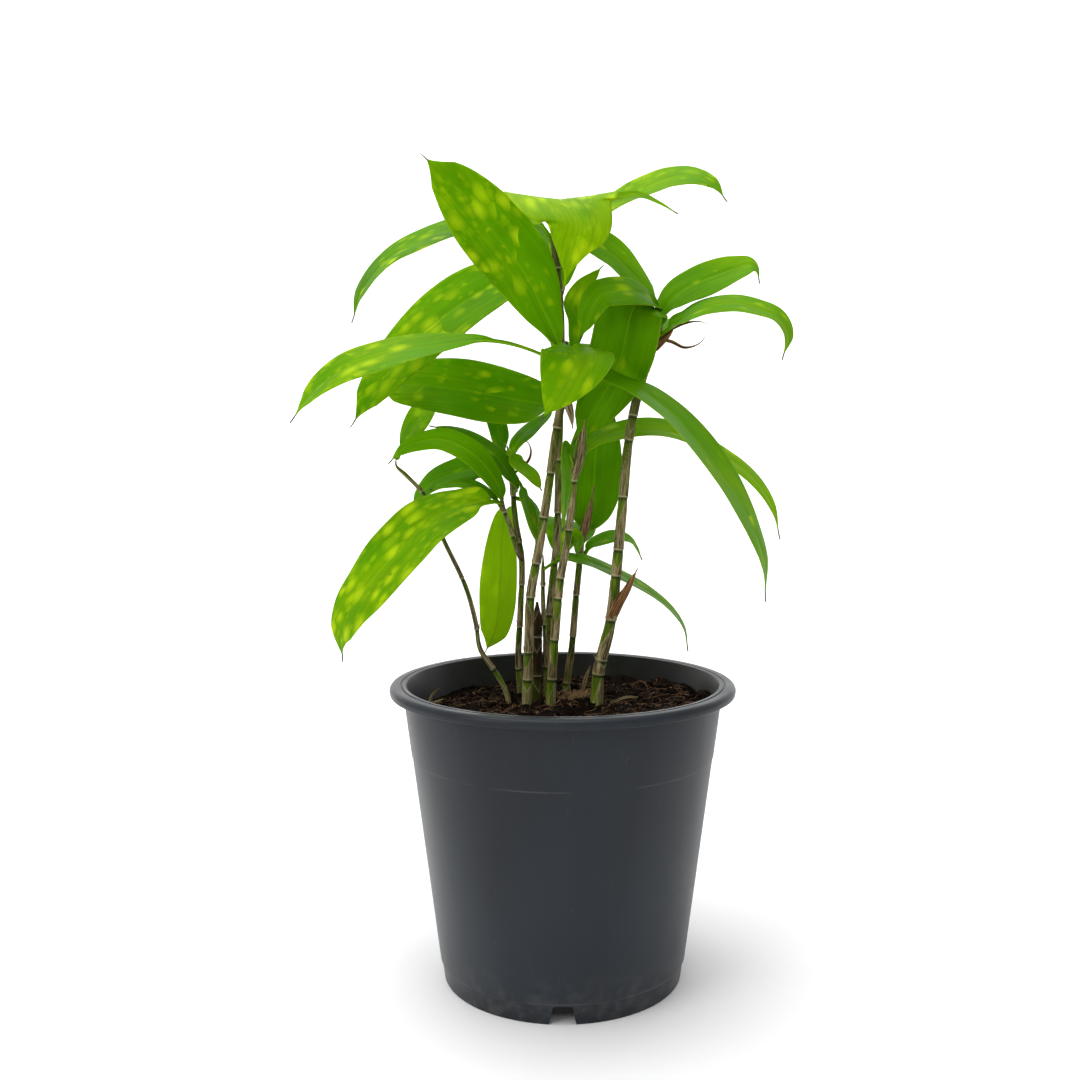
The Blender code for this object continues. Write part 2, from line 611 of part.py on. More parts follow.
def cane_tube(name, cane, collection):
    line = smooth_path(cane.path, PATH_SAMPLES)
    steps = stations(cane, line)
    places = [at_height(line, height) for height, swell in steps]
    radii = [cane_radius(cane, height) * swell for height, swell in steps]
    return tube("cane_" + name, places, radii, bevel_resolution(cane), collection)


def bevel_resolution(cane):
    """Eight sides on a thick cane and six on a thin one."""
    return 2 if cane.foot > THICK_CANE else 1


def sheath_mesh(name, sheath, cane, collection):
    line = smooth_path(cane.path, PATH_SAMPLES)
    rib = smooth_path([at_height(line, sheath.height)] + list(sheath.rib), PATH_SAMPLES)
    sheet = blade_mesh(name, rib, sheath, 0.0, SHEATH_ROWS, LEAF_COLUMNS // 2)
    blank = add_object(name, sheet, None, collection)
    thicken(blank, SHEATH_THICKNESS)
    mesh = baked(blank, name)
    bpy.data.objects.remove(blank)
    return mesh


def tendril_mesh(name, points, collection):
    line = smooth_path(points, 2 * len(points))
    steps = len(line) - 1
    radii = [TENDRIL_FOOT + (TENDRIL_TIP - TENDRIL_FOOT) * index / steps for index in range(len(line))]
    return tube(name, line, radii, 0, collection)


def make_cane(name, finish, collection, cutters, parent):
    """A cane with its side branch, dried sheaths and thread-like tips as one body."""
    cane = CANES[name]
    made = add_object("cane_" + name, cane_tube(name, cane, collection), finish, collection, parent)
    grown = [sheath_mesh("sheath", sheath, cane, cutters) for sheath in SHEATHS.get(name, ())]
    grown += [tendril_mesh("tendril", points, cutters) for points in TENDRILS.get(name, ())]
    if name == FORKED:
        grown.append(cane_tube(BRANCH, CANES[BRANCH], collection))
    if grown:
        pieces = bpy.data.collections.new("growth on " + name)
        cutters.children.link(pieces)
        for mesh in grown:
            add_object(mesh.name, mesh, None, pieces).hide_render = True
        combine(made, pieces, "UNION", "Growth")
        for piece in list(pieces.objects):
            bpy.data.objects.remove(piece)
    return made


def make_leaf(name, leaf, cane, finish, collection, parent):
    line = smooth_path(cane.path, PATH_SAMPLES)
    heart = at_height(line, leaf.height)
    along = (at_height(line, leaf.height + 2) - at_height(line, leaf.height - 2)).normalized()
    out = Vector(leaf.rib[0]) - heart
    out = (out - along * out.dot(along)).normalized()
    reach = surface_radius(cane, line, leaf.height) + SEAT_GAP + LEAF_THICKNESS / 2
    rib = smooth_path([heart + out * reach] + list(leaf.rib), PATH_SAMPLES)
    phase = random.Random(name).uniform(0, math.tau)
    columns = LEAF_COLUMNS if leaf.width > SLIM_WIDTH else LEAF_COLUMNS // 2
    mesh = blade_mesh(name, rib, leaf, phase, LEAF_ROWS, columns)
    made = add_object(name, mesh, finish, collection, parent)
    thicken(made, LEAF_THICKNESS)
    return made


def centre_on_origin(stand, objects):
    """Moves the stand so that the middle of the whole plant's box is over the origin."""
    bpy.context.view_layer.update()
    graph = bpy.context.evaluated_depsgraph_get()
    low, high = Vector((1e9,) * 3), Vector((-1e9,) * 3)
    for obj in objects:
        mesh = obj.evaluated_get(graph).to_mesh()
        for vert in mesh.vertices:
            low = Vector(map(min, low, vert.co))
            high = Vector(map(max, high, vert.co))
        obj.evaluated_get(graph).to_mesh_clear()
    stand.location.x = -(low.x + high.x) / 2
    stand.location.y = -(low.y + high.y) / 2


def main():
    for obj in list(bpy.data.objects):
        bpy.data.objects.remove(obj)
    plant = bpy.data.collections.new("gold dust dracaena")
    cutters = bpy.data.collections.new("cutters")
    bpy.context.scene.collection.children.link(plant)
    bpy.context.scene.collection.children.link(cutters)
    stand = bpy.data.objects.new("stand", None)
    plant.objects.link(stand)
    plastic = material("slate plastic", (0.045, 0.052, 0.060), 0.38)
    earth = material("potting soil", (0.022, 0.014, 0.009), 0.95)
    bark = material("cane bark", (0.30, 0.25, 0.16), 0.70)
    green = material("leaf green", (0.10, 0.30, 0.01), 0.35)
    made = [make_pot(plastic, plant, cutters, stand), make_soil(earth, plant, cutters, stand, CANES)]
    for name in CANES:
        if name != BRANCH:
            made.append(make_cane(name, bark, plant, cutters, stand))
    for cane_name, leaves in LEAVES.items():
        for number, leaf in enumerate(leaves, start=1):
            name = f"leaf_{cane_name}_{number}"
            made.append(make_leaf(name, leaf, CANES[cane_name], green, plant, stand))
    centre_on_origin(stand, made)


main()
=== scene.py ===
"""Looks of a gold dust dracaena in its nursery pot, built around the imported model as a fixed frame.

Run as a script. Sizes and tables are in millimetres of the pot's own frame: its axis is x = y = 0 and
its foot stands at z = 0. The settings, the stage and the finished meshes are in metres.
"""

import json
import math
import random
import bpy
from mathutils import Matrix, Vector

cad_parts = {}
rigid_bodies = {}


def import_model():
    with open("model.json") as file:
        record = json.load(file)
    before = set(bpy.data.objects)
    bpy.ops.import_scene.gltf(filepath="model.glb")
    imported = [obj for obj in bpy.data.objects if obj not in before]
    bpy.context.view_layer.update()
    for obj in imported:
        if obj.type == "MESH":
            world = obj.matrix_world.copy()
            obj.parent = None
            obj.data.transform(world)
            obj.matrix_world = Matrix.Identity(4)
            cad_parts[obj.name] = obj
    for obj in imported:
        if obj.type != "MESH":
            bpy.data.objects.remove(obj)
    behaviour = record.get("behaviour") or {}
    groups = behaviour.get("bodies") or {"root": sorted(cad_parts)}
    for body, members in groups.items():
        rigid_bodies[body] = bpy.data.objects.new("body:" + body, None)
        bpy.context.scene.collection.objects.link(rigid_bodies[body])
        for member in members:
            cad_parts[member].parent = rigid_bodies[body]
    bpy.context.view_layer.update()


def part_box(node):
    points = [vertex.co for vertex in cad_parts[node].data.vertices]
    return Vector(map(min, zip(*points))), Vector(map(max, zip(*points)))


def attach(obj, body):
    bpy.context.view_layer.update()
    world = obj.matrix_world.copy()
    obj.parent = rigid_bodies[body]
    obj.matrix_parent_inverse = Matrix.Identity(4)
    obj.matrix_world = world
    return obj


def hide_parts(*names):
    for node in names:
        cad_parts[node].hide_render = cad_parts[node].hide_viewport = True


bl_info = {
    "name": "Potted Cane Plant",
    "version": (1, 0, 0),
    "blender": (4, 5, 0),
    "location": "3D View > Sidebar > Plant",
    "description": "Builds a flecked cane plant in a tapered plastic pot, piece by piece",
    "category": "Add Mesh",
}

from collections import namedtuple

import bmesh
import bpy
from bpy.props import FloatProperty, FloatVectorProperty, IntProperty, PointerProperty
from mathutils import Color, Vector, noise

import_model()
POT_LOW, POT_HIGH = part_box("pot")
POT_AXIS = Vector(((POT_LOW.x + POT_HIGH.x) / 2, (POT_LOW.y + POT_HIGH.y) / 2, POT_LOW.z))
BODY = "root"
MM = 0.001
DETAIL = 1.0

# How close together corners of a mesh have to be to be joined
SEAM = 0.004
SPUN_SEAM = 0.005
FIBRE_SEAM = 0.002

# Pot
RIM_RADIUS = (POT_HIGH.x - POT_LOW.x) / 2 / MM
POT_HEIGHT = (POT_HIGH.z - POT_LOW.z) / MM
LIP_HEIGHT = 4.6
LIP_ROUND = 2.6
LIP_UNDER_ROUND = 0.6
LIP_UNDER_INSET = 0.9
LIP_FILLET = 0.4
WALL = 1.7
FOOT_RADIUS = 59.9
FOOT_ROUND = 0.5
TAPER = 0.126
BAND_BOTTOM = 112.5
BAND_STEP = 0.45
GROOVE_RADIUS = 79.4
GROOVE_DEPTH = 0.5
SKIRT_HEIGHT = 9.5
SKIRT_STEP = 0.7
FLOOR_BOTTOM = 3.5
FLOOR_TOP = 6.2
FLOOR_FILLET = 2.0
POT_SIDES = 192
NOTCHES = 4
NOTCH_WIDTH = 13.0
NOTCH_TOP_WIDTH = 9.0
NOTCH_HEIGHT = 9.0
NOTCH_ROUND = 0.8
NOTCH_INWARD = 5.0
NOTCH_OUTWARD = 8.0
DRAIN_HOLES = 6
DRAIN_RADIUS = 5.0
DRAIN_CIRCLE = 34.0
SHARP_ANGLE = 32

# Soil
SOIL_LEVEL = 134.0
SOIL_TILT = 0.05
SOIL_LUMPS = 1.3
SOIL_CLODS = 1.1
SOIL_GRIT = 0.55
SOIL_RINGS = 64
SOIL_SIDES = 220
SOIL_CORNER = 3.0
SOIL_GAP = 0.7
FIBRE_ROWS = 5
FIBRE_ROUGHNESS = 0.85
COIR_CENTRE = (8.5, 15.0)
COIR_SPREAD = (4.5, 3.5)
COIR_LIFT = 5.0

# Canes
CANE_FOOT = 112.0
RIM_LIFT = 0.22
RIM_HALF = 0.5
RING_HALF = 0.3
# Under each leaf scar's rim: a slight dent, and a painted shadow line laid in it
DENT_BELOW = 1.2
DENT_HALF = 0.7
DENT_REACH = 6.0
DENT_DEPTH = 0.08
FIBRE_LIFT = 0.08
BUD_LENGTH = 9.0
BUD_TIP = 0.28
CANE_SIDES = 36
CANE_STEP = 0.4
HUSK_LIFT = 0.16
DAMP_TOP = 152.0
DAMP_DEPTH = 14.0
GREENER = (215.0, 260.0)
WITHERED = (235.0, 290.0)
BRANCH = "branch"
DEAD_CANE = "stub"

# Leaves
LEAF_ROWS = 110
LEAF_COLUMNS = 28
STALK_LENGTH = 7.0
STALK_HALF = 1.25
STALK_CUPPED = 0.55
TIP_HALF = 0.35
SHARPENED = 0.1
TAIL_SHARE = 0.03
PEAK = 0.42
POINT = 0.8
FOLD = 0.1
WAVE_HEIGHT = 0.03
WAVES = 1.6
RIPPLE_HEIGHT = 0.05
RIPPLE_TURN = 2.4
LUMP_HEIGHT = 0.35
MIDRIB_DEPTH = 0.16
MIDRIB_HALF = 0.5
MARGIN_THINNED = 0.8
MARGIN_FACTOR = 0.25
PATH_SAMPLES = 72
CURVE_STEPS = 16
LEAF_SHINE = (0.75, 1.0, 0.25, 1.0)

# Stage, in metres. A lamp has a name, a place, a size, a power in watts and the point that it faces.
FLOOR_REACH = 3.0
SWEEP_START = 1.6
SWEEP_RADIUS = 0.8
SWEEP_STEPS = 8
WORLD_STRENGTH = 0.62
SENSOR_WIDTH = 36.0
PLANT_MIDDLE = POT_AXIS + Vector((0, 0, 0.2))
LAMPS = (
    ("top light", (-0.15, 0.05, 1.5), 1.2, 17.0, PLANT_MIDDLE),
    ("key light", (-1.1, -0.9, 0.9), 0.8, 7.0, PLANT_MIDDLE),
    ("backdrop light", (-1.3, 0.9, 0.7), 0.8, 26.0, Vector((-0.3, 2.4, 0.6))),
    ("backdrop light", (1.3, 0.9, 0.7), 0.8, 26.0, Vector((0.3, 2.4, 0.6))),
)

# path: points up the middle of the cane; foot and top: its radii; rings: heights of the leaf scars.
Cane = namedtuple("Cane", "path foot top rings")
CANES = {
    "middle": Cane(
        ((-18, 10, CANE_FOOT), (-18, 10, 135), (-17, 9, 161), (-16, 8, 188), (-12, 7, 211), (-7, 6, 242),
         (-3, 5, 271), (0, 4, 288), (2, 4, 314)),
        2.7, 2.0, (146, 160, 188, 205, 228, 250, 272, 290),
    ),
    "tall": Cane(
        ((-7, 32, CANE_FOOT), (-7, 32, 137), (-7, 31, 173), (-5, 30, 195), (-3, 29, 215), (-2, 28, 258),
         (-1, 27, 291), (-1, 26, 330), (-5, 25, 372)),
        2.1, 1.7, (150, 176, 203, 229, 256, 282, 308, 334, 352),
    ),
    "right": Cane(
        ((17, 3, CANE_FOOT), (17, 3, 135), (18, 3, 151), (24, 4, 177), (27, 5, 205), (28, 5, 216),
         (30, 6, 239), (32, 7, 261), (36, 8, 284), (45, 10, 314), (49, 11, 328)),
        3.4, 2.2, (150, 157, 177, 199, 212, 238, 266, 278, 300),
    ),
    "front": Cane(
        ((-6, 6, CANE_FOOT), (-6, 6, 134), (-4, 5, 166), (-1, 4, 198), (2, 4, 214), (4, 3, 230),
         (6, 2, 251), (9, 2, 270)),
        2.6, 1.8, (147, 167, 188, 198, 222, 246),
    ),
    "rear": Cane(
        ((2, 36, CANE_FOOT), (2, 36, 135), (5, 34, 160), (7, 32, 185), (9, 30, 206), (10, 29, 222)),
        2.1, 1.6, (139, 164, 186, 204),
    ),
    "thin": Cane(
        ((-9, 23, CANE_FOOT), (-9, 23, 136), (-9, 22, 162), (-10, 21, 184), (-10, 20, 208)),
        1.3, 1.1, (150, 172, 192),
    ),
    "bent": Cane(
        ((-27, 17, CANE_FOOT), (-28, 17, 135), (-33, 17, 146), (-42, 17, 160), (-44, 18, 172), (-49, 18, 191),
         (-61, 19, 217), (-69, 19, 237), (-79, 20, 248), (-84, 20, 253), (-84, 20, 257)),
        1.5, 1.0, (150, 170, 196, 220, 240),
    ),
    "forked": Cane(
        ((-22, 29, CANE_FOOT), (-22, 29, 134), (-23, 28, 154), (-22, 27, 174), (-21, 26, 204), (-24, 24, 225),
         (-26, 22, 248), (-28, 21, 263)),
        1.8, 1.4, (148, 170, 192, 214, 238),
    ),
    "branch": Cane(
        ((-21, 26, 204), (-24, 21, 212), (-27, 17, 224), (-30, 15, 232), (-31, 14, 242)),
        1.2, 1.1, (218, 230),
    ),
    "stub": Cane(
        ((-14, 19, CANE_FOOT), (-14, 19, 136), (-13, 19, 160), (-13, 19, 184)),
        3.0, 2.4, (146, 166),
    ),
}

# height: where on its cane the stalk starts; rib: points along the middle of the blade, out to its tip;
# width: across the widest part; face: the way the upper side looks in the middle; twist: its turn in
# degrees from end to end; stalk: the length of the narrow part; peak: how far along the blade it is widest,
# from 0 to 1; point: below 1 for a full blade with a blunt end, above 1 for one that narrows early.
Leaf = namedtuple("Leaf", "height rib width face twist stalk peak point",
                  defaults=(0, STALK_LENGTH, PEAK, POINT))
LEAVES = {
    "tall": (
        Leaf(364, ((-11, 28, 373), (-24, 34, 376), (-39, 41, 377), (-58, 45, 374), (-74, 47, 369),
             (-87, 49, 363), (-98, 50, 353), (-106, 50, 341), (-111, 49, 327)), 30, (-0.3, -0.5, 0.81),
             peak=0.6, point=0.6),
        Leaf(357, ((-19, 25, 354), (-34, 24, 344), (-50, 22, 334), (-69, 19, 319), (-92, 16, 293),
             (-106, 14, 272)), 37, (-0.28, -0.82, 0.49), point=0.7),
        Leaf(367, ((-1, 8, 369), (-1, -12, 374), (-1, -32, 374), (1, -46, 369), (6, -54, 359),
             (4, -58, 349), (2, -60, 339), (0, -60, 327)), 51, (0, -0.23, 0.97), stalk=12, peak=0.46,
             point=1.8),
        Leaf(361, ((12, 27, 373), (23, 30, 383), (34, 31, 389), (44, 31, 393), (54, 31, 397),
             (66, 30, 398), (76, 29, 394), (83, 28, 385)), 23, (-0.3, -0.58, 0.76), peak=0.62),
        Leaf(369, ((6, 14, 377), (17, 5, 380), (27, 0, 381), (37, -3, 382), (46, -4, 378), (55, -4, 373)),
             16, (-0.04, 0.08, 1)),
        Leaf(350, ((7, 36, 367), (12, 37, 368), (19, 40, 365), (26, 43, 361), (34, 45, 354),
             (43, 47, 345), (51, 48, 336)), 26, (0.58, -0.63, 0.52), peak=0.52),
        Leaf(366, ((-7, 42, 372), (-7, 60, 370), (-4, 75, 360), (-1, 82, 344)), 32, (0.26, 0.33, 0.91),
             stalk=14),
        Leaf(304, ((2, 38, 314), (5, 56, 316), (8, 70, 304), (10, 79, 286)), 28, (0.31, 0.43, 0.85)),
        Leaf(285, ((-7, 30, 284), (-21, 33, 286), (-37, 35, 289), (-56, 36, 292), (-71, 37, 294),
             (-84, 37, 294), (-99, 36, 295)), 36, (0.04, -0.86, 0.52), stalk=3, peak=0.45, point=0.5),
    ),
    "middle": (
        Leaf(304, ((-5, -3, 319), (-9, -2, 327), (-18, 0, 345), (-29, 2, 360), (-40, 2, 373),
             (-52, 0, 387), (-68, -3, 402)), 35, (0.05, -0.99, 0.15), peak=0.54),
        Leaf(302, ((-16, 1, 309), (-28, -3, 312), (-42, -5, 313), (-59, -6, 311), (-73, -6, 309),
             (-86, -6, 306), (-104, -5, 300), (-117, -3, 292), (-126, -1, 283), (-133, 0, 274)), 28,
             (-0.14, -0.58, 0.8), twist=10, stalk=32, peak=0.58, point=0.8),
        Leaf(308, ((4, -8, 310), (6, -20, 307), (7, -28, 304), (5, -34, 299), (0, -38, 290),
             (-5, -40, 282), (-10, -40, 274)), 34, (0.08, -0.63, 0.77), peak=0.45, point=1.25),
        Leaf(303, ((7, 2, 323), (5, 3, 332), (9, 2, 340), (15, 1, 345), (20, 1, 350)), 11,
             (0.51, -0.82, 0.27)),
        Leaf(298, ((14, -4, 299), (26, -10, 294), (37, -15, 289), (50, -18, 279), (60, -21, 268),
             (71, -22, 254), (81, -21, 240), (90, -19, 224), (96, -16, 208), (98, -13, 188)), 30,
             (0.69, -0.46, 0.56), peak=0.46, point=0.7),
    ),
    "right": (
        Leaf(320, ((52, 14, 332), (59, 16, 339), (69, 18, 344), (79, 20, 348), (87, 21, 351),
             (94, 22, 353), (97, 23, 351), (99, 24, 344)), 23, (-0.13, -0.74, 0.66), peak=0.46),
        Leaf(316, ((62, 3, 326), (72, 1, 330), (83, -1, 331), (94, -3, 328), (103, -4, 324),
             (108, -4, 316), (106, -2, 304)), 24, (0.05, -0.45, 0.89), point=0.7),
        Leaf(321, ((45, 5, 331), (39, -3, 335), (32, -10, 336), (25, -15, 335), (18, -17, 333),
             (14, -17, 328), (11, -15, 321), (8, -12, 312)), 20, (0.36, -0.65, 0.67)),
        Leaf(317, ((44, 6, 329), (41, 1, 332), (36, -3, 331), (33, -4, 326), (31, -3, 318), (29, 2, 308),
             (24, 7, 295), (16, 9, 281), (5, 10, 264)), 34, (-0.43, -0.86, -0.27), stalk=4, peak=0.42,
             point=0.7),
        Leaf(310, ((44, 28, 322), (40, 48, 325), (37, 64, 314), (35, 76, 296)), 28, (-0.19, 0.21, 0.96)),
    ),
    "front": (
        Leaf(256, ((19, 13, 266), (34, 20, 271), (49, 23, 271), (64, 24, 267), (77, 22, 260),
             (91, 20, 251), (100, 17, 241), (106, 15, 230), (109, 13, 216)), 21, (0.35, -0.44, 0.83)),
        Leaf(252, ((2, -5, 262), (1, -9, 258), (1, -11, 244), (0, -10, 222)), 11, (0.92, -0.4, 0.04)),
        Leaf(207, ((4, 8, 218), (7, 9, 217), (7, 9, 208)), 9, (0.17, -0.81, 0.55)),
    ),
    "rear": (
        Leaf(213, ((14, 32, 225), (16, 34, 240), (17, 36, 257), (19, 39, 274), (22, 42, 290)), 30,
             (-0.26, -0.96, 0.12), point=0.7),
        Leaf(203, ((15, 34, 211), (21, 36, 214), (28, 38, 216), (35, 40, 214), (39, 41, 209),
             (42, 41, 203)), 12, (-0.03, -0.46, 0.89)),
        Leaf(206, ((6, 44, 218), (3, 60, 222), (0, 74, 212), (-2, 80, 198)), 28, (0.17, 0.19, 0.97)),
    ),
    "thin": (
        Leaf(200, ((-1, 18, 205), (9, 17, 205), (21, 20, 201), (33, 24, 195), (45, 26, 187),
             (56, 27, 178), (63, 27, 168), (65, 26, 157)), 20, (0.55, -0.15, 0.82)),
    ),
    "forked": (
        Leaf(256, ((-32, 30, 263), (-33, 37, 270), (-36, 44, 279), (-39, 50, 289), (-42, 54, 298)), 11,
             (0.29, -0.71, 0.64)),
        Leaf(251, ((-24, 25, 263), (-20, 31, 268), (-16, 40, 272), (-9, 46, 278), (-4, 50, 285)), 10,
             (-0.01, -0.34, 0.94)),
        Leaf(258, ((-26, 17, 260), (-22, 12, 254), (-16, 8, 248), (-10, 5, 241)), 14,
             (0.47, -0.42, 0.78)),
        Leaf(240, ((-23, 15, 242), (-28, 15, 250), (-33, 15, 257), (-40, 17, 263), (-49, 17, 268),
             (-58, 17, 271), (-67, 17, 273)), 13, (0.4, -0.55, 0.73)),
        Leaf(247, ((-22, 19, 244), (-19, 16, 236), (-16, 14, 226), (-12, 12, 213)), 12,
             (0.83, -0.45, 0.32)),
        Leaf(236, ((-19, 28, 234), (-15, 30, 229), (-13, 30, 220), (-13, 29, 208)), 14,
             (0.91, -0.37, 0.19)),
    ),
    "branch": (
        Leaf(236, ((-32, 8, 243), (-37, 4, 251), (-42, 1, 257), (-49, 0, 262), (-60, 1, 266),
             (-72, 2, 264), (-80, 3, 260), (-86, 4, 254)), 14, (0.19, -0.83, 0.53), stalk=1, peak=0.45,
             point=0.65),
        Leaf(234, ((-36, 8, 235), (-44, 6, 235), (-54, 2, 232), (-66, -3, 225), (-76, -6, 215),
             (-86, -8, 205), (-95, -8, 194), (-103, -8, 183), (-108, -6, 170), (-108, -4, 157)), 37,
             (-0.41, -0.71, 0.57), peak=0.46, point=0.65),
        Leaf(237, ((-39, 25, 250), (-48, 31, 250), (-57, 34, 248), (-66, 35, 245), (-72, 35, 240),
             (-76, 35, 235), (-78, 34, 230)), 22, (-0.36, -0.59, 0.72), stalk=12),
        Leaf(229, ((-36, 17, 238), (-43, 17, 242), (-51, 16, 244), (-59, 17, 243), (-67, 18, 241)), 9,
             (0.33, -0.55, 0.77)),
        Leaf(228, ((-30, 34, 229), (-32, 37, 214), (-33, 38, 193), (-34, 38, 177), (-36, 37, 165),
             (-41, 36, 154)), 21, (-0.41, 0.91, 0.04), peak=0.62, point=0.5),
    ),
    "bent": (
        Leaf(256, ((-82, 24, 261), (-79, 32, 268), (-75, 42, 277), (-70, 52, 288), (-65, 58, 298)), 14,
             (0.01, -0.7, 0.72), peak=0.5),
    ),
}

# Dried sheaths, as leaves, with twist, stalk, peak and point last. SHEATH_RUST: 0 for grey, 1 for reddish.
SHEATHS = {
    "middle": (Leaf(290, ((2, 0, 285), (4, -2, 278), (5, -2, 271)), 4.5, (0, -1, 0.3), 0, 1, 0.3, 0.9),),
    "front": (Leaf(246, ((8, -1, 254), (10, -1, 264), (11, 0, 276)), 5, (0.4, -1, 0.1), 0, 1, 0.3, 0.9),),
    "rear": (Leaf(213, ((12, 26, 222), (14, 23, 231), (16, 21, 243)), 5, (0.3, -1, 0.1), 0, 1, 0.25, 1.6),),
    "right": (
        Leaf(173, ((28, 1, 184), (33, 0, 194), (37, 0, 203)), 7, (0.6, -0.8, -0.2), 0, 1, 0.3, 0.8),
        Leaf(308, ((46, 8, 313), (50, 8, 317), (55, 9, 322)), 6, (-0.5, -0.8, 0.3), 0, 1, 0.4, 0.7),
    ),
}
SHEATH_RUST = {"middle": 0.2, "front": 0.15, "rear": 0.5, "right": 0.9}

# Dry bits on the soil, as leaves, then how all dried growth is made.
LITTER = (
    Leaf(0, ((10, 14, 134), (10.5, 14, 141), (12.5, 13, 148), (14, 13, 152)),
         2.6, (-0.7, -0.7, 0), 0, 1, 0.45, 0.8),
    Leaf(0, ((-67, 6, 133), (-65.5, 8, 138), (-62, 10, 141)), 1.4, (0.2, -1, 0.3), 0, 1, 0.5, 0.6),
    Leaf(0, ((-70, 2, 133), (-65, 5, 135), (-60, 9, 136)), 1.6, (0, -0.6, 1), 0, 1, 0.5, 0.6),
    Leaf(0, ((24, 8, 134), (32, 9, 137), (41, 12, 136)), 2.0, (0, -0.5, 1), 0, 1, 0.5, 0.6),
)
LITTER_RUST = 0.15
SHEATH_GRID = (int(50 * DETAIL), int(14 * DETAIL))
LITTER_GRID = (int(30 * DETAIL), int(10 * DETAIL))
SHEATH_CUPPED = -0.5
LITTER_CUPPED = -0.4
SHRED_LENGTH = 3.5
SHRED_THICKNESS = 0.15

# Dried thread-like leaf tips: points out from the middle of the cane.
TENDRILS = {
    "right": (((47, 10, 317), (53, 10, 320), (60, 11, 323), (67, 11, 324), (73, 10, 322)),
              ((46, 10, 315), (53, 8, 314), (60, 8, 311), (67, 8, 313), (71, 8, 318))),
    "forked": (((-26, 22, 248), (-21, 20, 252), (-17, 19, 256), (-16, 19, 261), (-18, 19, 265),
                (-21, 19, 264)),),
}
TENDRIL_FOOT = 0.8
TENDRIL_TIP = 0.2
TENDRIL_RUST = 0.7
TENDRIL_TWIST = 140
TENDRIL_SIDES = 10

# How a leaf looks: flecks from 0, none, to 1, crowded; tone from -1, deep green, to 1, light yellow-green,
# which paints the leaf's shade and light as well as its own colour; drift: how much lighter it gets towards
# the tip, partly painted light; gather: above 0 where the flecks gather near the tip.
Look = namedtuple("Look", "flecks tone drift gather", defaults=(0.2, 0.0, 0.3, 0.0))
LOOKS = {
    "tall_1": Look(0.4, -0.3, 0.1),
    "tall_2": Look(1.0, 0.2),
    "tall_3": Look(0.9, 0.8, 0.0),
    "tall_4": Look(0.7, 0.3, 0.1),
    "tall_5": Look(0.1, 0.3),
    "tall_6": Look(0.05, 0.2),
    "tall_9": Look(0.3, 0.2),
    "middle_1": Look(0.6, 0.1, 0.4, 1.0),
    "middle_2": Look(0.45, 0.3, 0.3, 0.6),
    "middle_3": Look(0.5, 0.4, 0.3, 0.4),
    "middle_4": Look(0.1, 0.3),
    "middle_5": Look(0.05, 0.2),
    "right_1": Look(0.04, 0.2),
    "right_2": Look(0.06, 0.2),
    "right_3": Look(0.05, -0.3),
    "right_4": Look(0.05, -0.3),
    "front_1": Look(0.03, 0.8),
    "rear_1": Look(0.05, -0.3, 0.1),
    "branch_1": Look(0.1, 0.3),
    "branch_2": Look(1.0, 0.3, -0.1),
    "branch_3": Look(0.08, -0.2),
    # branch_5's high tone brings it to the bright lower-side colour, a painted glow of light shining through
    # it from behind
    "branch_5": Look(0.25, 1.6),
    "forked_3": Look(0.1, 0.5),
    "forked_4": Look(0.05, -0.5),
    "bent_1": Look(0.8, 0.7),
}


def in_row(point):
    """A point in millimetres of the pot's frame, as metres of the model's."""
    return POT_AXIS + Vector(point) * MM


def turned(x, y, angle):
    """A flat point turned round the origin."""
    return x * math.cos(angle) - y * math.sin(angle), x * math.sin(angle) + y * math.cos(angle)


def smooth_path(points, count):
    """Evenly spaced points on a centripetal Catmull-Rom curve through the given ones."""
    knots = [Vector(p) for p in points]
    knots = [2 * knots[0] - knots[1]] + knots + [2 * knots[-1] - knots[-2]]
    fine = []
    for a, b, c, d in zip(knots, knots[1:], knots[2:], knots[3:]):
        t0 = 0.0
        t1 = t0 + (b - a).length ** 0.5
        t2 = t1 + (c - b).length ** 0.5
        t3 = t2 + (d - c).length ** 0.5
        for step in range(CURVE_STEPS):
            t = t1 + (t2 - t1) * step / CURVE_STEPS
            ab = a.lerp(b, (t - t0) / (t1 - t0))
            bc = b.lerp(c, (t - t1) / (t2 - t1))
            cd = c.lerp(d, (t - t2) / (t3 - t2))
            abc = ab.lerp(bc, (t - t0) / (t2 - t0))
            bcd = bc.lerp(cd, (t - t1) / (t3 - t1))
            fine.append(abc.lerp(bcd, (t - t1) / (t2 - t1)))
    fine.append(knots[-2].copy())
    reach = [0.0]
    for a, b in zip(fine, fine[1:]):
        reach.append(reach[-1] + (b - a).length)
    even, index = [], 0
    for step in range(count):
        goal = reach[-1] * step / (count - 1)
        while index < len(fine) - 2 and reach[index + 1] < goal:
            index += 1
        share = (goal - reach[index]) / (reach[index + 1] - reach[index])
        even.append(fine[index].lerp(fine[index + 1], share))
    return even


def sample(values, share):
    """The value at a share of the way along an evenly spaced list."""
    place = min(max(share, 0.0), 1.0) * (len(values) - 1)
    index = min(int(place), len(values) - 2)
    return values[index].lerp(values[index + 1], place - index)


def at_height(line, height):
    """The point of a rising line at this height."""
    for a, b in zip(line, line[1:]):
        if a.z <= height <= b.z:
            return a.lerp(b, (height - a.z) / (b.z - a.z))
    return line[-1].copy()


def path_length(line):
    return sum((b - a).length for a, b in zip(line, line[1:]))


def smooth_step(value, low, high):
    share = min(max((value - low) / (high - low), 0.0), 1.0)
    return share * share * (3 - 2 * share)


def cane_radius(cane, height):
    """Thick at the soil, then soon near the radius that it has at the top."""
    low, high = cane.path[0][2], cane.path[-1][2]
    left = 1 - min(max((height - low) / (high - low), 0.0), 1.0)
    return cane.top + (cane.foot - cane.top) * left ** 2


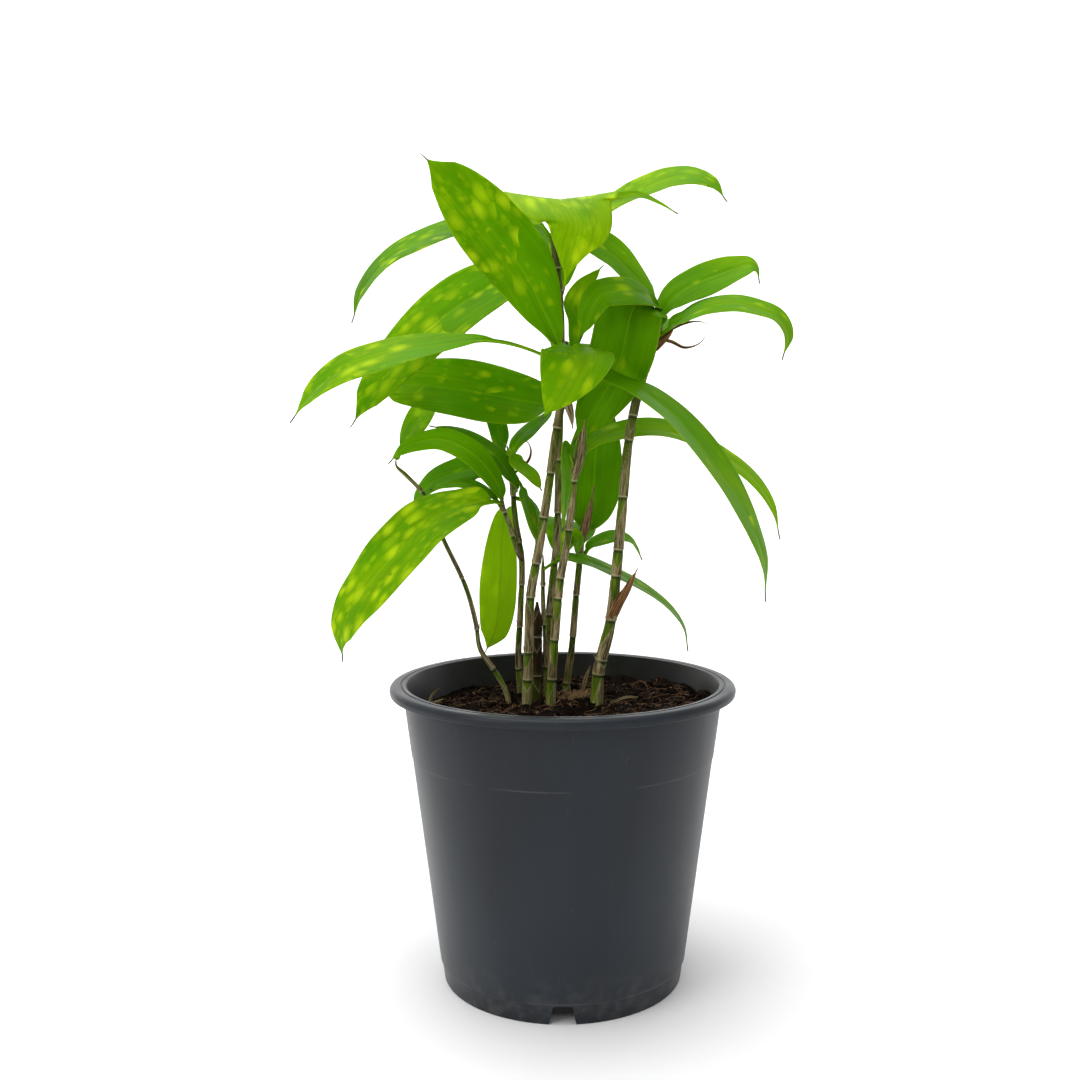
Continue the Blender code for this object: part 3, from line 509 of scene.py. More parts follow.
def half_width(share, leaf, stalk):
    """Half the blade's width: a narrow stalk, a lance-shaped blade and a tail that thins out."""
    blade = (share - stalk) / (1 - stalk - TAIL_SHARE)
    if blade <= 0:
        return STALK_HALF
    tail = TIP_HALF * min(1.0, 0.3 + 0.7 * (1 - share) / TAIL_SHARE)
    if blade >= 1:
        return tail
    base = leaf.point * leaf.peak / (1 - leaf.peak)
    full = (blade / leaf.peak) ** base * ((1 - blade) / (1 - leaf.peak)) ** leaf.point
    full *= min(1.0, (1 - blade) / SHARPENED) ** 0.6
    return max(leaf.width / 2 * full, STALK_HALF * (1 - blade), tail)


def frames(line, face, twist):
    """The upward and sideways directions along a rib: the face turns along with it, then twists."""
    count = len(line)
    middle = count // 2
    tangents = []
    for index in range(count):
        ahead, behind = line[min(index + 1, count - 1)], line[max(index - 1, 0)]
        tangents.append((ahead - behind).normalized())
    normals = [Vector(face)] * count
    for index in list(range(middle, count)) + list(range(middle - 1, -1, -1)):
        tangent = tangents[index]
        near = normals[index] if index == middle else normals[index - 1 if index > middle else index + 1]
        normals[index] = (near - tangent * near.dot(tangent)).normalized()
    sides = [n.cross(t).normalized() for n, t in zip(normals, tangents)]
    for index in range(count):
        turn = math.radians(twist) * (index - middle) / (count - 1)
        n, side = normals[index], sides[index]
        normals[index] = n * math.cos(turn) + side * math.sin(turn)
        sides[index] = side * math.cos(turn) - n * math.sin(turn)
    return normals, sides


def finish_piece(name, bm, materials, nodes=(), smooth=True):
    """Turns a bmesh into a piece that rides on the plant and stands for the named CAD nodes."""
    mesh = bpy.data.meshes.new(name)
    bm.to_mesh(mesh)
    bm.free()
    for finish in materials:
        mesh.materials.append(finish)
    mesh.polygons.foreach_set("use_smooth", [smooth] * len(mesh.polygons))
    piece = bpy.data.objects.new(name, mesh)
    bpy.context.scene.collection.objects.link(piece)
    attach(piece, BODY)
    if nodes:
        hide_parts(*nodes)
    return piece


class Nodes:
    """A node tree, with a short call for each kind of node that the finishes use."""

    def __init__(self, tree):
        self.tree = tree

    def make(self, kind, **settings):
        made = self.tree.nodes.new(kind)
        for key, value in settings.items():
            setattr(made, key, value)
        return made

    def feed(self, socket, source):
        """Joins a socket to another one or sets it to a plain value, with a full alpha for a colour."""
        if isinstance(source, bpy.types.NodeSocket):
            self.tree.links.new(source, socket)
        elif isinstance(source, Color):
            socket.default_value = (*source, 1.0)
        elif source is not None:
            socket.default_value = source

    def maths(self, operation, first, second=None):
        made = self.make("ShaderNodeMath", operation=operation)
        self.feed(made.inputs[0], first)
        self.feed(made.inputs[1], second)
        return made.outputs[0]

    def plus(self, first, second):
        return self.maths("ADD", first, second)

    def times(self, first, second):
        return self.maths("MULTIPLY", first, second)

    def larger(self, first, second):
        return self.maths("MAXIMUM", first, second)

    def vectors(self, operation, first, second=None):
        """Vector arithmetic. For SCALE the second value is the factor, and LENGTH has none."""
        made = self.make("ShaderNodeVectorMath", operation=operation)
        self.feed(made.inputs[0], first)
        self.feed(made.inputs["Scale"] if operation == "SCALE" else made.inputs[1], second)
        return made.outputs["Value" if operation == "LENGTH" else "Vector"]

    def blend(self, factor, first, second):
        """A mix of two colours."""
        made = self.make("ShaderNodeMix", data_type="RGBA", blend_type="MIX")
        for label, source in (("Factor", factor), ("A", first), ("B", second)):
            self.feed(made.inputs[label], source)
        return made.outputs["Result"]

    def stretch(self, vector, x, y, z):
        """A vector scaled on each axis."""
        made = self.make("ShaderNodeMapping", vector_type="POINT")
        self.feed(made.inputs["Vector"], vector)
        made.inputs["Scale"].default_value = (x, y, z)
        return made.outputs["Vector"]

    def cloudy(self, vector, scale, detail=2.0, roughness=0.5, part="Fac"):
        """Noise from 0 to 1."""
        made = self.make("ShaderNodeTexNoise", noise_dimensions="3D")
        self.feed(made.inputs["Vector"], vector)
        for label, value in (("Scale", scale), ("Detail", detail), ("Roughness", roughness)):
            made.inputs[label].default_value = value
        return made.outputs[part]

    def rise(self, value, low, high, start=0.0, end=1.0):
        """A smooth change from start to end as the value goes from low to high."""
        made = self.make("ShaderNodeMapRange", interpolation_type="SMOOTHSTEP")
        self.feed(made.inputs["Value"], value)
        for label, limit in (("From Min", low), ("From Max", high), ("To Min", start), ("To Max", end)):
            made.inputs[label].default_value = limit
        return made.outputs["Result"]

    def attribute(self, name, part="Fac"):
        return self.make("ShaderNodeAttribute", attribute_name=name).outputs[part]

    def object_place(self):
        return self.make("ShaderNodeTexCoord").outputs["Object"]

    def height_of(self, place):
        parts = self.make("ShaderNodeSeparateXYZ")
        self.feed(parts.inputs["Vector"], place)
        return parts.outputs["Z"]

    def bumped(self, height, strength, distance):
        made = self.make("ShaderNodeBump")
        made.inputs["Strength"].default_value = strength
        made.inputs["Distance"].default_value = distance
        self.feed(made.inputs["Height"], height)
        return made.outputs["Normal"]

    def use(self, group, **values):
        """What a node group gives out for these values."""
        made = self.make("ShaderNodeGroup", node_tree=group)
        for label, value in values.items():
            self.feed(made.inputs[label.capitalize()], value)
        return made.outputs


def shared_effect(name, inputs, outputs, build):
    """The named node group, which turns a place and some numbers into masks. It is made on its first use."""
    if name in bpy.data.node_groups:
        return bpy.data.node_groups[name]
    tree = bpy.data.node_groups.new(name, "ShaderNodeTree")
    tree.interface.new_socket("Place", in_out="INPUT", socket_type="NodeSocketVector")
    for label, value in inputs:
        tree.interface.new_socket(label, in_out="INPUT", socket_type="NodeSocketFloat").default_value = value
    for label in outputs:
        tree.interface.new_socket(label, in_out="OUTPUT", socket_type="NodeSocketFloat")
    nodes = Nodes(tree)
    made = build(nodes, nodes.make("NodeGroupInput").outputs)
    result = nodes.make("NodeGroupOutput")
    for label, mask in zip(outputs, made):
        nodes.feed(result.inputs[label], mask)
    return tree


def scatter_spots(nodes, given):
    """Blurred spots scattered over a surface, each kept or left out by chance."""
    wander = nodes.vectors("SCALE", nodes.cloudy(given["Place"], 0.35, 3.0, part="Color"), 1.6)
    cells = nodes.make("ShaderNodeTexVoronoi", voronoi_dimensions="3D", feature="F1")
    nodes.feed(cells.inputs["Vector"], nodes.vectors("ADD", given["Place"], wander))
    nodes.feed(cells.inputs["Scale"], nodes.maths("DIVIDE", 1.0, given["Spacing"]))
    chance = nodes.make("ShaderNodeSeparateColor")
    nodes.feed(chance.inputs["Color"], cells.outputs["Color"])
    size = nodes.times(given["Radius"], nodes.plus(chance.outputs["Green"], 0.45))
    spot = nodes.rise(nodes.maths("DIVIDE", cells.outputs["Distance"], size), 0.0, 1.45, 1.0, 0.0)
    kept = nodes.maths("LESS_THAN", chance.outputs["Red"], given["Kept"])
    strength = nodes.plus(nodes.times(chance.outputs["Blue"], 0.6), 0.4)
    return (nodes.times(nodes.times(spot, kept), strength),)


def lay_fibres(nodes, given):
    """Fine dry fibres that run along a stem, and the stains on them."""
    fine = nodes.cloudy(nodes.stretch(given["Place"], 1.0, 1.0, 0.07), 1.5, 4.0, 0.7)
    coarse = nodes.cloudy(nodes.stretch(given["Place"], 1.0, 1.0, 0.10), 0.55)
    both = nodes.plus(nodes.times(fine, 0.65), nodes.times(coarse, 0.35))
    stains = nodes.cloudy(nodes.stretch(given["Place"], 1.0, 1.0, 0.35), 0.33, 3.0, 0.6)
    return nodes.rise(both, 0.40, 0.60), nodes.rise(stains, 0.42, 0.68)


def spots(nodes, place, spacing, kept):
    """A mask of soft spots of one size."""
    numbers = (("Spacing", 8.0), ("Radius", 0.3), ("Kept", 0.5))
    group = shared_effect("Soft spots", numbers, ("Mask",), scatter_spots)
    return nodes.use(group, place=place, spacing=spacing, radius=0.42, kept=kept)["Mask"]


def new_material(name, roughness, specular):
    made = bpy.data.materials.new(name)
    made.use_nodes = True
    surface = made.node_tree.nodes["Principled BSDF"].inputs
    surface["Roughness"].default_value = roughness
    surface["Specular IOR Level"].default_value = specular
    return made, Nodes(made.node_tree), surface


def glow_through(nodes, colour, share):
    """Lets part of the light pass through a thin leaf."""
    thin = nodes.make("ShaderNodeBsdfTranslucent")
    nodes.feed(thin.inputs["Color"], colour)
    both = nodes.make("ShaderNodeMixShader")
    both.inputs["Fac"].default_value = share
    nodes.feed(both.inputs[1], nodes.tree.nodes["Principled BSDF"].outputs["BSDF"])
    nodes.feed(both.inputs[2], thin.outputs["BSDF"])
    nodes.feed(nodes.tree.nodes["Material Output"].inputs["Surface"], both.outputs["Shader"])


def leaf_upper_material(settings):
    """Satin green with soft yellow-green flecks, a pale midrib and a brown tip."""
    made, nodes, surface = new_material("leaf upper side", 0.4, 0.08)
    place = nodes.attribute("leaf_place", "Vector")
    share = nodes.attribute("leaf_share")
    patches = nodes.cloudy(nodes.stretch(place, 0.5, 1.0, 1.0), 0.07)
    # Painted shade and light: the leaf's tone and soft patches move it from the shaded deep green to the
    # sunlit light green
    shade = nodes.plus(nodes.times(nodes.attribute("leaf_tone"), 0.5), patches)
    base = nodes.blend(nodes.rise(shade, -0.1, 0.55), settings.deep_colour, settings.green_colour)
    base = nodes.blend(nodes.rise(shade, 0.5, 1.05), base, settings.light_colour)
    veins = nodes.cloudy(nodes.stretch(place, 0.03, 1.0, 1.0), 0.9, 2.0, 0.4)
    base = nodes.blend(nodes.rise(veins, 0.35, 0.7, 0.0, 0.25), base, settings.deep_colour)
    lengthened = nodes.stretch(place, 0.6, 1.0, 1.0)
    clusters = nodes.rise(nodes.cloudy(lengthened, 0.045, 1.0), 0.38, 0.58, 0.3, 1.3)
    kept = nodes.times(nodes.attribute("leaf_flecks"), clusters)
    wide = spots(nodes, lengthened, 6.2, kept)
    small = spots(nodes, nodes.stretch(place, 0.65, 1.1, 1.0), 3.8, nodes.times(kept, 0.7))
    flecks = nodes.larger(wide, nodes.times(small, 0.45))
    base = nodes.blend(nodes.times(flecks, 0.9), base, settings.fleck_colour)
    rib = nodes.rise(nodes.maths("ABSOLUTE", nodes.attribute("leaf_side")), 0.1, 0.55, 1.0, 0.0)
    rib = nodes.times(rib, nodes.rise(share, 0.6, 0.95, 0.28, 0.04))
    base = nodes.blend(rib, base, settings.rib_colour)
    # A pale line along the margin: partly the blade's own paler edge, partly a painted highlight
    edge = nodes.rise(nodes.maths("ABSOLUTE", nodes.attribute("leaf_across")), 0.93, 1.0, 0.0, 0.4)
    base = nodes.blend(edge, base, settings.rib_colour)
    base = nodes.blend(nodes.rise(share, 0.945, 0.975), base, settings.tip_colour)
    nodes.feed(surface["Base Color"], base)
    nodes.feed(surface["Roughness"], nodes.rise(patches, 0.3, 0.7, 0.34, 0.48))
    height = nodes.plus(veins, nodes.times(rib, -0.6))
    nodes.feed(surface["Normal"], nodes.bumped(height, 0.2, 0.08 * MM))
    surface["Specular Tint"].default_value = LEAF_SHINE
    glow_through(nodes, base, settings.glow)
    return made


def leaf_under_material(settings):
    """The paler, duller lower side, with its raised midrib; at its brightest its colour is a painted glow of
    light shining through from behind.
    """
    made, nodes, surface = new_material("leaf lower side", 0.5, 0.06)
    place = nodes.attribute("leaf_place", "Vector")
    # Painted shade and light, as on the upper side
    shade = nodes.plus(nodes.times(nodes.attribute("leaf_tone"), 0.45), nodes.cloudy(place, 0.08))
    base = nodes.blend(nodes.rise(shade, -0.1, 0.55), settings.deep_colour, settings.green_colour)
    # Towards a high tone the lower side turns to its bright colour, which paints light shining through it
    # from behind
    base = nodes.blend(nodes.rise(shade, 0.4, 1.1), base, settings.under_and_backlit_colour)
    veins = nodes.cloudy(nodes.stretch(place, 0.03, 1.0, 1.0), 1.2, 2.0, 0.4)
    base = nodes.blend(nodes.rise(veins, 0.35, 0.7, 0.0, 0.12), base, settings.green_colour)
    flecks = spots(nodes, nodes.stretch(place, 0.62, 1.0, 1.0), 7.5, nodes.attribute("leaf_flecks"))
    base = nodes.blend(nodes.times(flecks, 0.55), base, settings.fleck_colour)
    rib = nodes.rise(nodes.maths("ABSOLUTE", nodes.attribute("leaf_side")), 0.2, 0.9, 0.5, 0.0)
    base = nodes.blend(rib, base, settings.rib_colour)
    base = nodes.blend(nodes.rise(nodes.attribute("leaf_share"), 0.955, 0.985), base, settings.tip_colour)
    nodes.feed(surface["Base Color"], base)
    nodes.feed(surface["Normal"], nodes.bumped(nodes.plus(veins, rib), 0.25, 0.1 * MM))
    surface["Specular Tint"].default_value = LEAF_SHINE
    glow_through(nodes, base, settings.glow)
    return made


def bark_material(settings):
    """Green stem between streaked, papery tan husks, with a pale line at each leaf scar and a painted shadow
    line just under it.
    """
    made, nodes, surface = new_material("cane bark", 0.6, 0.1)
    place = nodes.attribute("bark_place", "Vector")
    husk = nodes.attribute("bark_husk")
    group = shared_effect("Fibre streaks", (), ("Streaks", "Stains"), lay_fibres)
    fibres = nodes.use(group, place=place)
    streaks = fibres["Streaks"]
    dry = nodes.blend(streaks, settings.husk_dark, settings.husk_light)
    dry = nodes.blend(nodes.times(fibres["Stains"], 0.5), dry, settings.husk_warm)
    threads = nodes.cloudy(nodes.stretch(place, 1.0, 1.0, 0.05), 2.2)
    dry = nodes.blend(nodes.rise(threads, 0.56, 0.66, 0.0, 0.75), dry, settings.ring_colour)
    fresh = nodes.blend(streaks, settings.stem_dark, settings.stem_green)
    base = nodes.blend(husk, fresh, dry)
    rotten = nodes.blend(streaks, settings.dent_shade_and_rot_colour, settings.rotten_colour)
    base = nodes.blend(nodes.attribute("bark_dead"), base, rotten)
    # The dark line just under each leaf scar is painted shadow under the scar's rim; the damp green and the
    # pale ring are the cane's own colour
    marks = (("bark_damp", 0.55, settings.stem_green), ("bark_dent_shade", 0.8, settings.dent_shade_and_rot_colour),
             ("bark_ring", 0.9, settings.ring_colour))
    for name, share, colour in marks:
        base = nodes.blend(nodes.times(nodes.attribute(name), share), base, colour)
    nodes.feed(surface["Base Color"], base)
    nodes.feed(surface["Roughness"], nodes.rise(husk, 0.0, 1.0, 0.42, 0.78))
    nodes.feed(surface["Normal"], nodes.bumped(streaks, 0.7, 0.3 * MM))
    return made


def husk_material(settings):
    """Dried leaf sheaths and tips: thin, streaked, grey-tan to reddish brown."""
    made, nodes, surface = new_material("dried husk", 0.72, 0.25)
    place = nodes.stretch(nodes.attribute("leaf_place", "Vector"), 0.05, 1.0, 1.0)
    streaks = nodes.rise(nodes.cloudy(place, 1.7, 3.0, 0.65), 0.38, 0.62)
    grey = nodes.blend(streaks, settings.husk_dark, settings.husk_light)
    rusty = nodes.blend(streaks, settings.dried_dark, settings.dried_light)
    base = nodes.blend(nodes.rise(nodes.attribute("leaf_tone"), 0.0, 1.0), grey, rusty)
    nodes.feed(surface["Base Color"], base)
    nodes.feed(surface["Normal"], nodes.bumped(streaks, 0.5, 0.2 * MM))
    glow_through(nodes, base, 0.2)
    return made


def soiled_and_shaded_inside(nodes, place, height):
    """How much of a film of soil covers the pot's inner wall, and nothing outside it; the film's dark colour
    also paints the inner wall's shade.
    """
    from_axis = nodes.stretch(nodes.vectors("SUBTRACT", place, POT_AXIS), 1.0, 1.0, 0.0)
    wall_middle = nodes.plus(nodes.times(height, TAPER), (FOOT_RADIUS - WALL / 2) * MM)
    outward = nodes.maths("SUBTRACT", nodes.vectors("LENGTH", from_axis), wall_middle)
    film = nodes.rise(nodes.cloudy(place, 90.0, 3.0), 0.3, 0.65, 0.5, 0.9)
    return nodes.times(nodes.rise(outward, -0.3 * MM, 0.3 * MM, 1.0, 0.0), film)


def painted_edge_highlight(nodes, place, height, level):
    """A painted highlight: a pale broken line along an edge of the moulding."""
    off = nodes.maths("ABSOLUTE", nodes.maths("SUBTRACT", height, level * MM))
    broken = nodes.rise(nodes.cloudy(place, 30.0, 3.0), 0.42, 0.62, 0.0, 0.28)
    return nodes.times(nodes.rise(off, 0.0, 0.6 * MM, 1.0, 0.0), broken)


def plastic_material(settings):
    """Charcoal plastic with a faint moulded grain and a painted sheen lighter towards the foot, scuffs,
    drips, dust near the foot, painted highlights along two edges of the moulding, and a soil film inside that
    also paints the inner wall's shade.
    """
    made, nodes, surface = new_material("charcoal plastic", 0.42, 0.19)
    place = nodes.object_place()
    height = nodes.height_of(place)
    flow = nodes.cloudy(nodes.stretch(place, 1.0, 1.0, 0.15), 28.0)
    # Painted sheen: the grain's lighter colour, laid on more strongly towards the foot
    sheen_and_grain = nodes.plus(flow, nodes.rise(height, 0.02, 0.11, 0.35, 0.0))
    base = nodes.blend(nodes.rise(sheen_and_grain, 0.3, 0.9), settings.colour, settings.grain_and_sheen_colour)
    scuffs = nodes.rise(nodes.cloudy(nodes.stretch(place, 1.0, 1.0, 0.07), 950.0), 0.72, 0.78, 0.0, 0.35)
    foot = nodes.rise(height, 0.0, 0.03, 0.22, 0.0)
    dust = nodes.times(foot, nodes.rise(nodes.cloudy(place, 160.0, 3.0), 0.4, 0.7))
    drips = nodes.rise(nodes.cloudy(nodes.stretch(place, 1.0, 1.0, 0.12), 110.0), 0.66, 0.76, 0.0, 0.14)
    drips = nodes.times(drips, nodes.rise(height, 0.02, 0.09, 1.0, 0.0))
    wear_and_edge_highlights = nodes.larger(nodes.larger(nodes.times(scuffs, 0.35), dust), drips)
    # Painted highlights: pale broken lines along the band's lower edge and the skirt's step
    for level in (BAND_BOTTOM, SKIRT_HEIGHT + 1.0):
        wear_and_edge_highlights = nodes.larger(wear_and_edge_highlights, painted_edge_highlight(nodes, place, height, level))
    base = nodes.blend(wear_and_edge_highlights, base, settings.dust_and_highlight_colour)
    # A soil film on the inner wall, which also paints the inside's shade
    base = nodes.blend(soiled_and_shaded_inside(nodes, place, height), base, settings.soil_film_and_shade_colour)
    nodes.feed(surface["Base Color"], base)
    nodes.feed(surface["Roughness"], nodes.rise(flow, 0.3, 0.7, 0.34, 0.44))
    nodes.feed(surface["Normal"], nodes.bumped(nodes.cloudy(place, 2600.0), 0.12, 0.1 * MM))
    return made


def soil_material(name, colour, lighter, roughness=0.95):
    """Gritty and dull, in two mixed shades."""
    made, nodes, surface = new_material(name, roughness, 0.05)
    place = nodes.object_place()
    grit = nodes.cloudy(place, 900.0, 4.0, 0.65)
    mixed = nodes.plus(nodes.times(grit, 0.6), nodes.times(nodes.cloudy(place, 60.0, 3.0), 0.4))
    nodes.feed(surface["Base Color"], nodes.blend(nodes.rise(mixed, 0.42, 0.64), colour, lighter))
    nodes.feed(surface["Normal"], nodes.bumped(grit, 0.7, 0.6 * MM))
    return made


def wall_radius(height):
    """The outer radius of the plain tapered wall."""
    return FOOT_RADIUS + TAPER * height


def arc(centre_radius, centre_height, radius, start, end, steps):
    """Points of a rounded profile corner, angles in degrees from the outward direction."""
    points = []
    for step in range(steps + 1):
        angle = math.radians(start + (end - start) * step / steps)
        points.append((centre_radius + radius * math.cos(angle), centre_height + radius * math.sin(angle)))
    return points


def pot_profile():
    """The pot's closed section, from the top of the rim down the outside and up the inside."""
    lip_bottom = POT_HEIGHT - LIP_HEIGHT
    band_outer = wall_radius(lip_bottom) + BAND_STEP
    inner_top = wall_radius(POT_HEIGHT) + BAND_STEP - WALL
    skirt_top = wall_radius(SKIRT_HEIGHT)
    foot_outer = wall_radius(0) - SKIRT_STEP
    return [
        *arc(RIM_RADIUS - LIP_ROUND, POT_HEIGHT - LIP_ROUND, LIP_ROUND, 90, 0, 8),
        *arc(RIM_RADIUS - LIP_UNDER_INSET, lip_bottom + LIP_UNDER_ROUND, LIP_UNDER_ROUND, 0, -90, 4),
        (band_outer + LIP_FILLET, lip_bottom),
        (band_outer, lip_bottom - LIP_FILLET),
        (wall_radius(BAND_BOTTOM) + BAND_STEP, BAND_BOTTOM),
        (wall_radius(BAND_BOTTOM), BAND_BOTTOM - 1.0),
        (wall_radius(SKIRT_HEIGHT + 0.8), SKIRT_HEIGHT + 0.8),
        (skirt_top - SKIRT_STEP / 2, SKIRT_HEIGHT + 0.2),
        (skirt_top - SKIRT_STEP, SKIRT_HEIGHT - 0.3),
        *arc(foot_outer - FOOT_ROUND, FOOT_ROUND, FOOT_ROUND, 0, -90, 4),
        (foot_outer - WALL, 0.0),
        (wall_radius(FLOOR_BOTTOM) - SKIRT_STEP - WALL, FLOOR_BOTTOM),
        (0.0, FLOOR_BOTTOM),
        (0.0, FLOOR_TOP),
        (wall_radius(FLOOR_TOP) - WALL - FLOOR_FILLET, FLOOR_TOP),
        (wall_radius(FLOOR_TOP + FLOOR_FILLET) - WALL, FLOOR_TOP + FLOOR_FILLET),
        (inner_top - 0.6, POT_HEIGHT - 0.8),
        (inner_top - 0.2, POT_HEIGHT - 0.2),
        (inner_top + 0.3, POT_HEIGHT),
        (GROOVE_RADIUS - 0.6, POT_HEIGHT),
        (GROOVE_RADIUS - 0.3, POT_HEIGHT - GROOVE_DEPTH),
        (GROOVE_RADIUS + 0.2, POT_HEIGHT - GROOVE_DEPTH),
        (GROOVE_RADIUS + 0.5, POT_HEIGHT),
    ]


def close_up(bm, seam=SEAM):
    """Joins a mesh at its seams and pinched ends, and turns its faces outwards."""
    bmesh.ops.remove_doubles(bm, verts=bm.verts, dist=seam * MM)
    bmesh.ops.recalc_face_normals(bm, faces=bm.faces)
    return bm


def spun(profile, sides):
    """A closed (radius, height) outline in millimetres, spun round the pot's axis."""
    bm = bmesh.new()
    corners = [bm.verts.new(in_row((radius, 0, height))) for radius, height in profile]
    lines = [bm.edges.new(pair) for pair in zip(corners, corners[1:] + corners[:1])]
    bmesh.ops.spin(bm, geom=corners + lines, cent=POT_AXIS, axis=(0, 0, 1), angle=math.tau, steps=sides,
                   use_merge=True)
    bmesh.ops.remove_doubles(bm, verts=bm.verts, dist=SPUN_SEAM * MM)
    bmesh.ops.dissolve_degenerate(bm, edges=bm.edges, dist=0.001 * MM)
    bmesh.ops.recalc_face_normals(bm, faces=bm.faces)
    return bm


def notch_cutter(angle):
    """The wedge that opens one drainage slot in the skirt."""
    bm = bmesh.new()
    bmesh.ops.create_cube(bm, size=1.0)
    for vert in bm.verts:
        upper = vert.co.z > 0
        wide = NOTCH_TOP_WIDTH if upper else NOTCH_WIDTH
        reach = FOOT_RADIUS + NOTCH_OUTWARD if vert.co.x > 0 else FOOT_RADIUS - NOTCH_INWARD
        across = wide * vert.co.y
        height = NOTCH_HEIGHT if upper else -1.0
        vert.co = in_row((*turned(reach, across, angle), height))
    bmesh.ops.recalc_face_normals(bm, faces=bm.faces)
    top_edges = [edge for edge in bm.edges if min(vert.co.z for vert in edge.verts) > POT_AXIS.z]
    bmesh.ops.bevel(bm, geom=top_edges, offset=NOTCH_ROUND * MM, segments=3, profile=0.5, affect="EDGES",
                    material=-1)
    return bm


def drain_cutter(x, y):
    bm = bmesh.new()
    bmesh.ops.create_cone(bm, cap_ends=True, segments=32, radius1=DRAIN_RADIUS * MM,
                          radius2=DRAIN_RADIUS * MM, depth=12.0 * MM)
    bmesh.ops.translate(bm, verts=bm.verts, vec=in_row((x, y, (FLOOR_BOTTOM + FLOOR_TOP) / 2)))
    return bm


def cut_away(piece, cutters):
    """Cuts a list of closed bmeshes out of a piece, for good."""
    openings = bpy.data.collections.new("openings")
    bpy.context.scene.collection.children.link(openings)
    for bm in cutters:
        mesh = bpy.data.meshes.new("opening")
        bm.to_mesh(mesh)
        bm.free()
        openings.objects.link(bpy.data.objects.new("opening", mesh))
    cut = piece.modifiers.new("Openings", "BOOLEAN")
    cut.operation = "DIFFERENCE"
    cut.solver = "EXACT"
    cut.operand_type = "COLLECTION"
    cut.collection = openings
    bpy.context.view_layer.update()
    evaluated = piece.evaluated_get(bpy.context.evaluated_depsgraph_get())
    finished = bpy.data.meshes.new_from_object(evaluated)
    piece.modifiers.clear()
    piece.data = finished
    for helper in list(openings.objects):
        bpy.data.objects.remove(helper)
    bpy.data.collections.remove(openings)


def soil_height(x, y):
    """The uneven top of the soil, lower on the left, in millimetres."""
    lumps = math.sin(x * 0.11 + 1.0) * math.cos(y * 0.13 - 0.6) + 0.6 * math.sin(x * 0.23 - y * 0.19)
    return SOIL_LEVEL + SOIL_TILT * x + SOIL_LUMPS * lumps


def soil_surface(x, y):
    """The soil's top with its clods and grit."""
    clods = noise.fractal(Vector((x * 0.16, y * 0.16, 3.0)), 0.8, 2.1, 3)
    grit = noise.fractal(Vector((x * 0.7, y * 0.7, 9.0)), 0.9, 2.2, 3)
    return soil_height(x, y) + SOIL_CLODS * clods + SOIL_GRIT * grit


def hump(distance, half):
    """A bell curve: 1 at no distance, and near 0 two halves away."""
    return math.exp(-((distance / half) ** 2))


def rings_around(cane, height):
    """The leaf scars just above and just below a height."""
    marks = sorted([cane.path[0][2] + 20.0] + list(cane.rings) + [cane.path[-1][2] - 4.0])
    above = [mark for mark in marks if mark >= height]
    below = [mark for mark in marks if mark < height]
    return (above[0] if above else marks[-1] + 20.0), (below[-1] if below else marks[0] - 20.0)


def turned_away(angle, lean):
    """How far an angle is from another, from 0, the same, to 1, opposite."""
    return abs((angle - lean + math.pi) % math.tau - math.pi) / math.pi


def bark_relief(cane, height, angle, seed):
    """The bark at one place: extra radius in millimetres, husk, scar and ring amounts; the scar amount is a
    slight dent under each leaf scar and the mask of the shadow painted in it.
    """
    above, below = rings_around(cane, height)
    share = (above - height) / (above - below)
    chance = random.Random(f"{seed} {above}")
    lean = -math.pi / 2 + chance.uniform(-1.2, 1.2)
    depth, spread = chance.uniform(0.4, 1.0), chance.uniform(0.45, 0.75)
    torn = max(depth * (1 - turned_away(angle, lean) / spread),
               0.5 * depth * (1 - turned_away(angle, lean + 2.8) / spread), 0.04)
    torn += 0.03 * noise.noise(Vector((math.cos(angle) * 4, math.sin(angle) * 4, above + seed)))
    husk = smooth_step(share, torn - 0.015, torn + 0.015)
    near = min(abs(height - ring) for ring in cane.rings)
    torn_edge = hump((share - torn) * (above - below), 0.5) if torn > 0.06 else 0.0
    # A slight dent just under each leaf scar's rim, which also masks a painted shadow line
    under = [ring - height for ring in cane.rings if 0 <= ring - height < DENT_REACH]
    scar = hump(min(under) - DENT_BELOW, DENT_HALF) if under else 0.0
    fibre = noise.noise(Vector((math.cos(angle) * 5, math.sin(angle) * 5, height * 0.05 + seed)))
    lift = RIM_LIFT * hump(near, RIM_HALF) + HUSK_LIFT * (husk - 0.5) + FIBRE_LIFT * fibre - DENT_DEPTH * scar
    return lift, husk, scar, max(hump(near, RING_HALF), 0.45 * torn_edge)


def grid_bmesh(rows, columns, place_name, value_names):
    """A flat grid from -0.5 to 0.5, with an attribute for its finish's pattern and one for each value."""
    bm = bmesh.new()
    place_layer = bm.verts.layers.float_vector.new(place_name)
    layers = [bm.verts.layers.float.new(name) for name in value_names]
    bmesh.ops.create_grid(bm, x_segments=rows, y_segments=columns, size=0.5)
    return bm, place_layer, layers


def wrapped(verts, rows):
    """Each vertex of a flat grid, its share along a line, its angle round it and whether it is at an end."""
    for vert in verts:
        share = vert.co.x + 0.5
        yield vert, share, math.tau * (vert.co.y + 0.5), not 0.5 / rows <= share <= 1 - 0.5 / rows


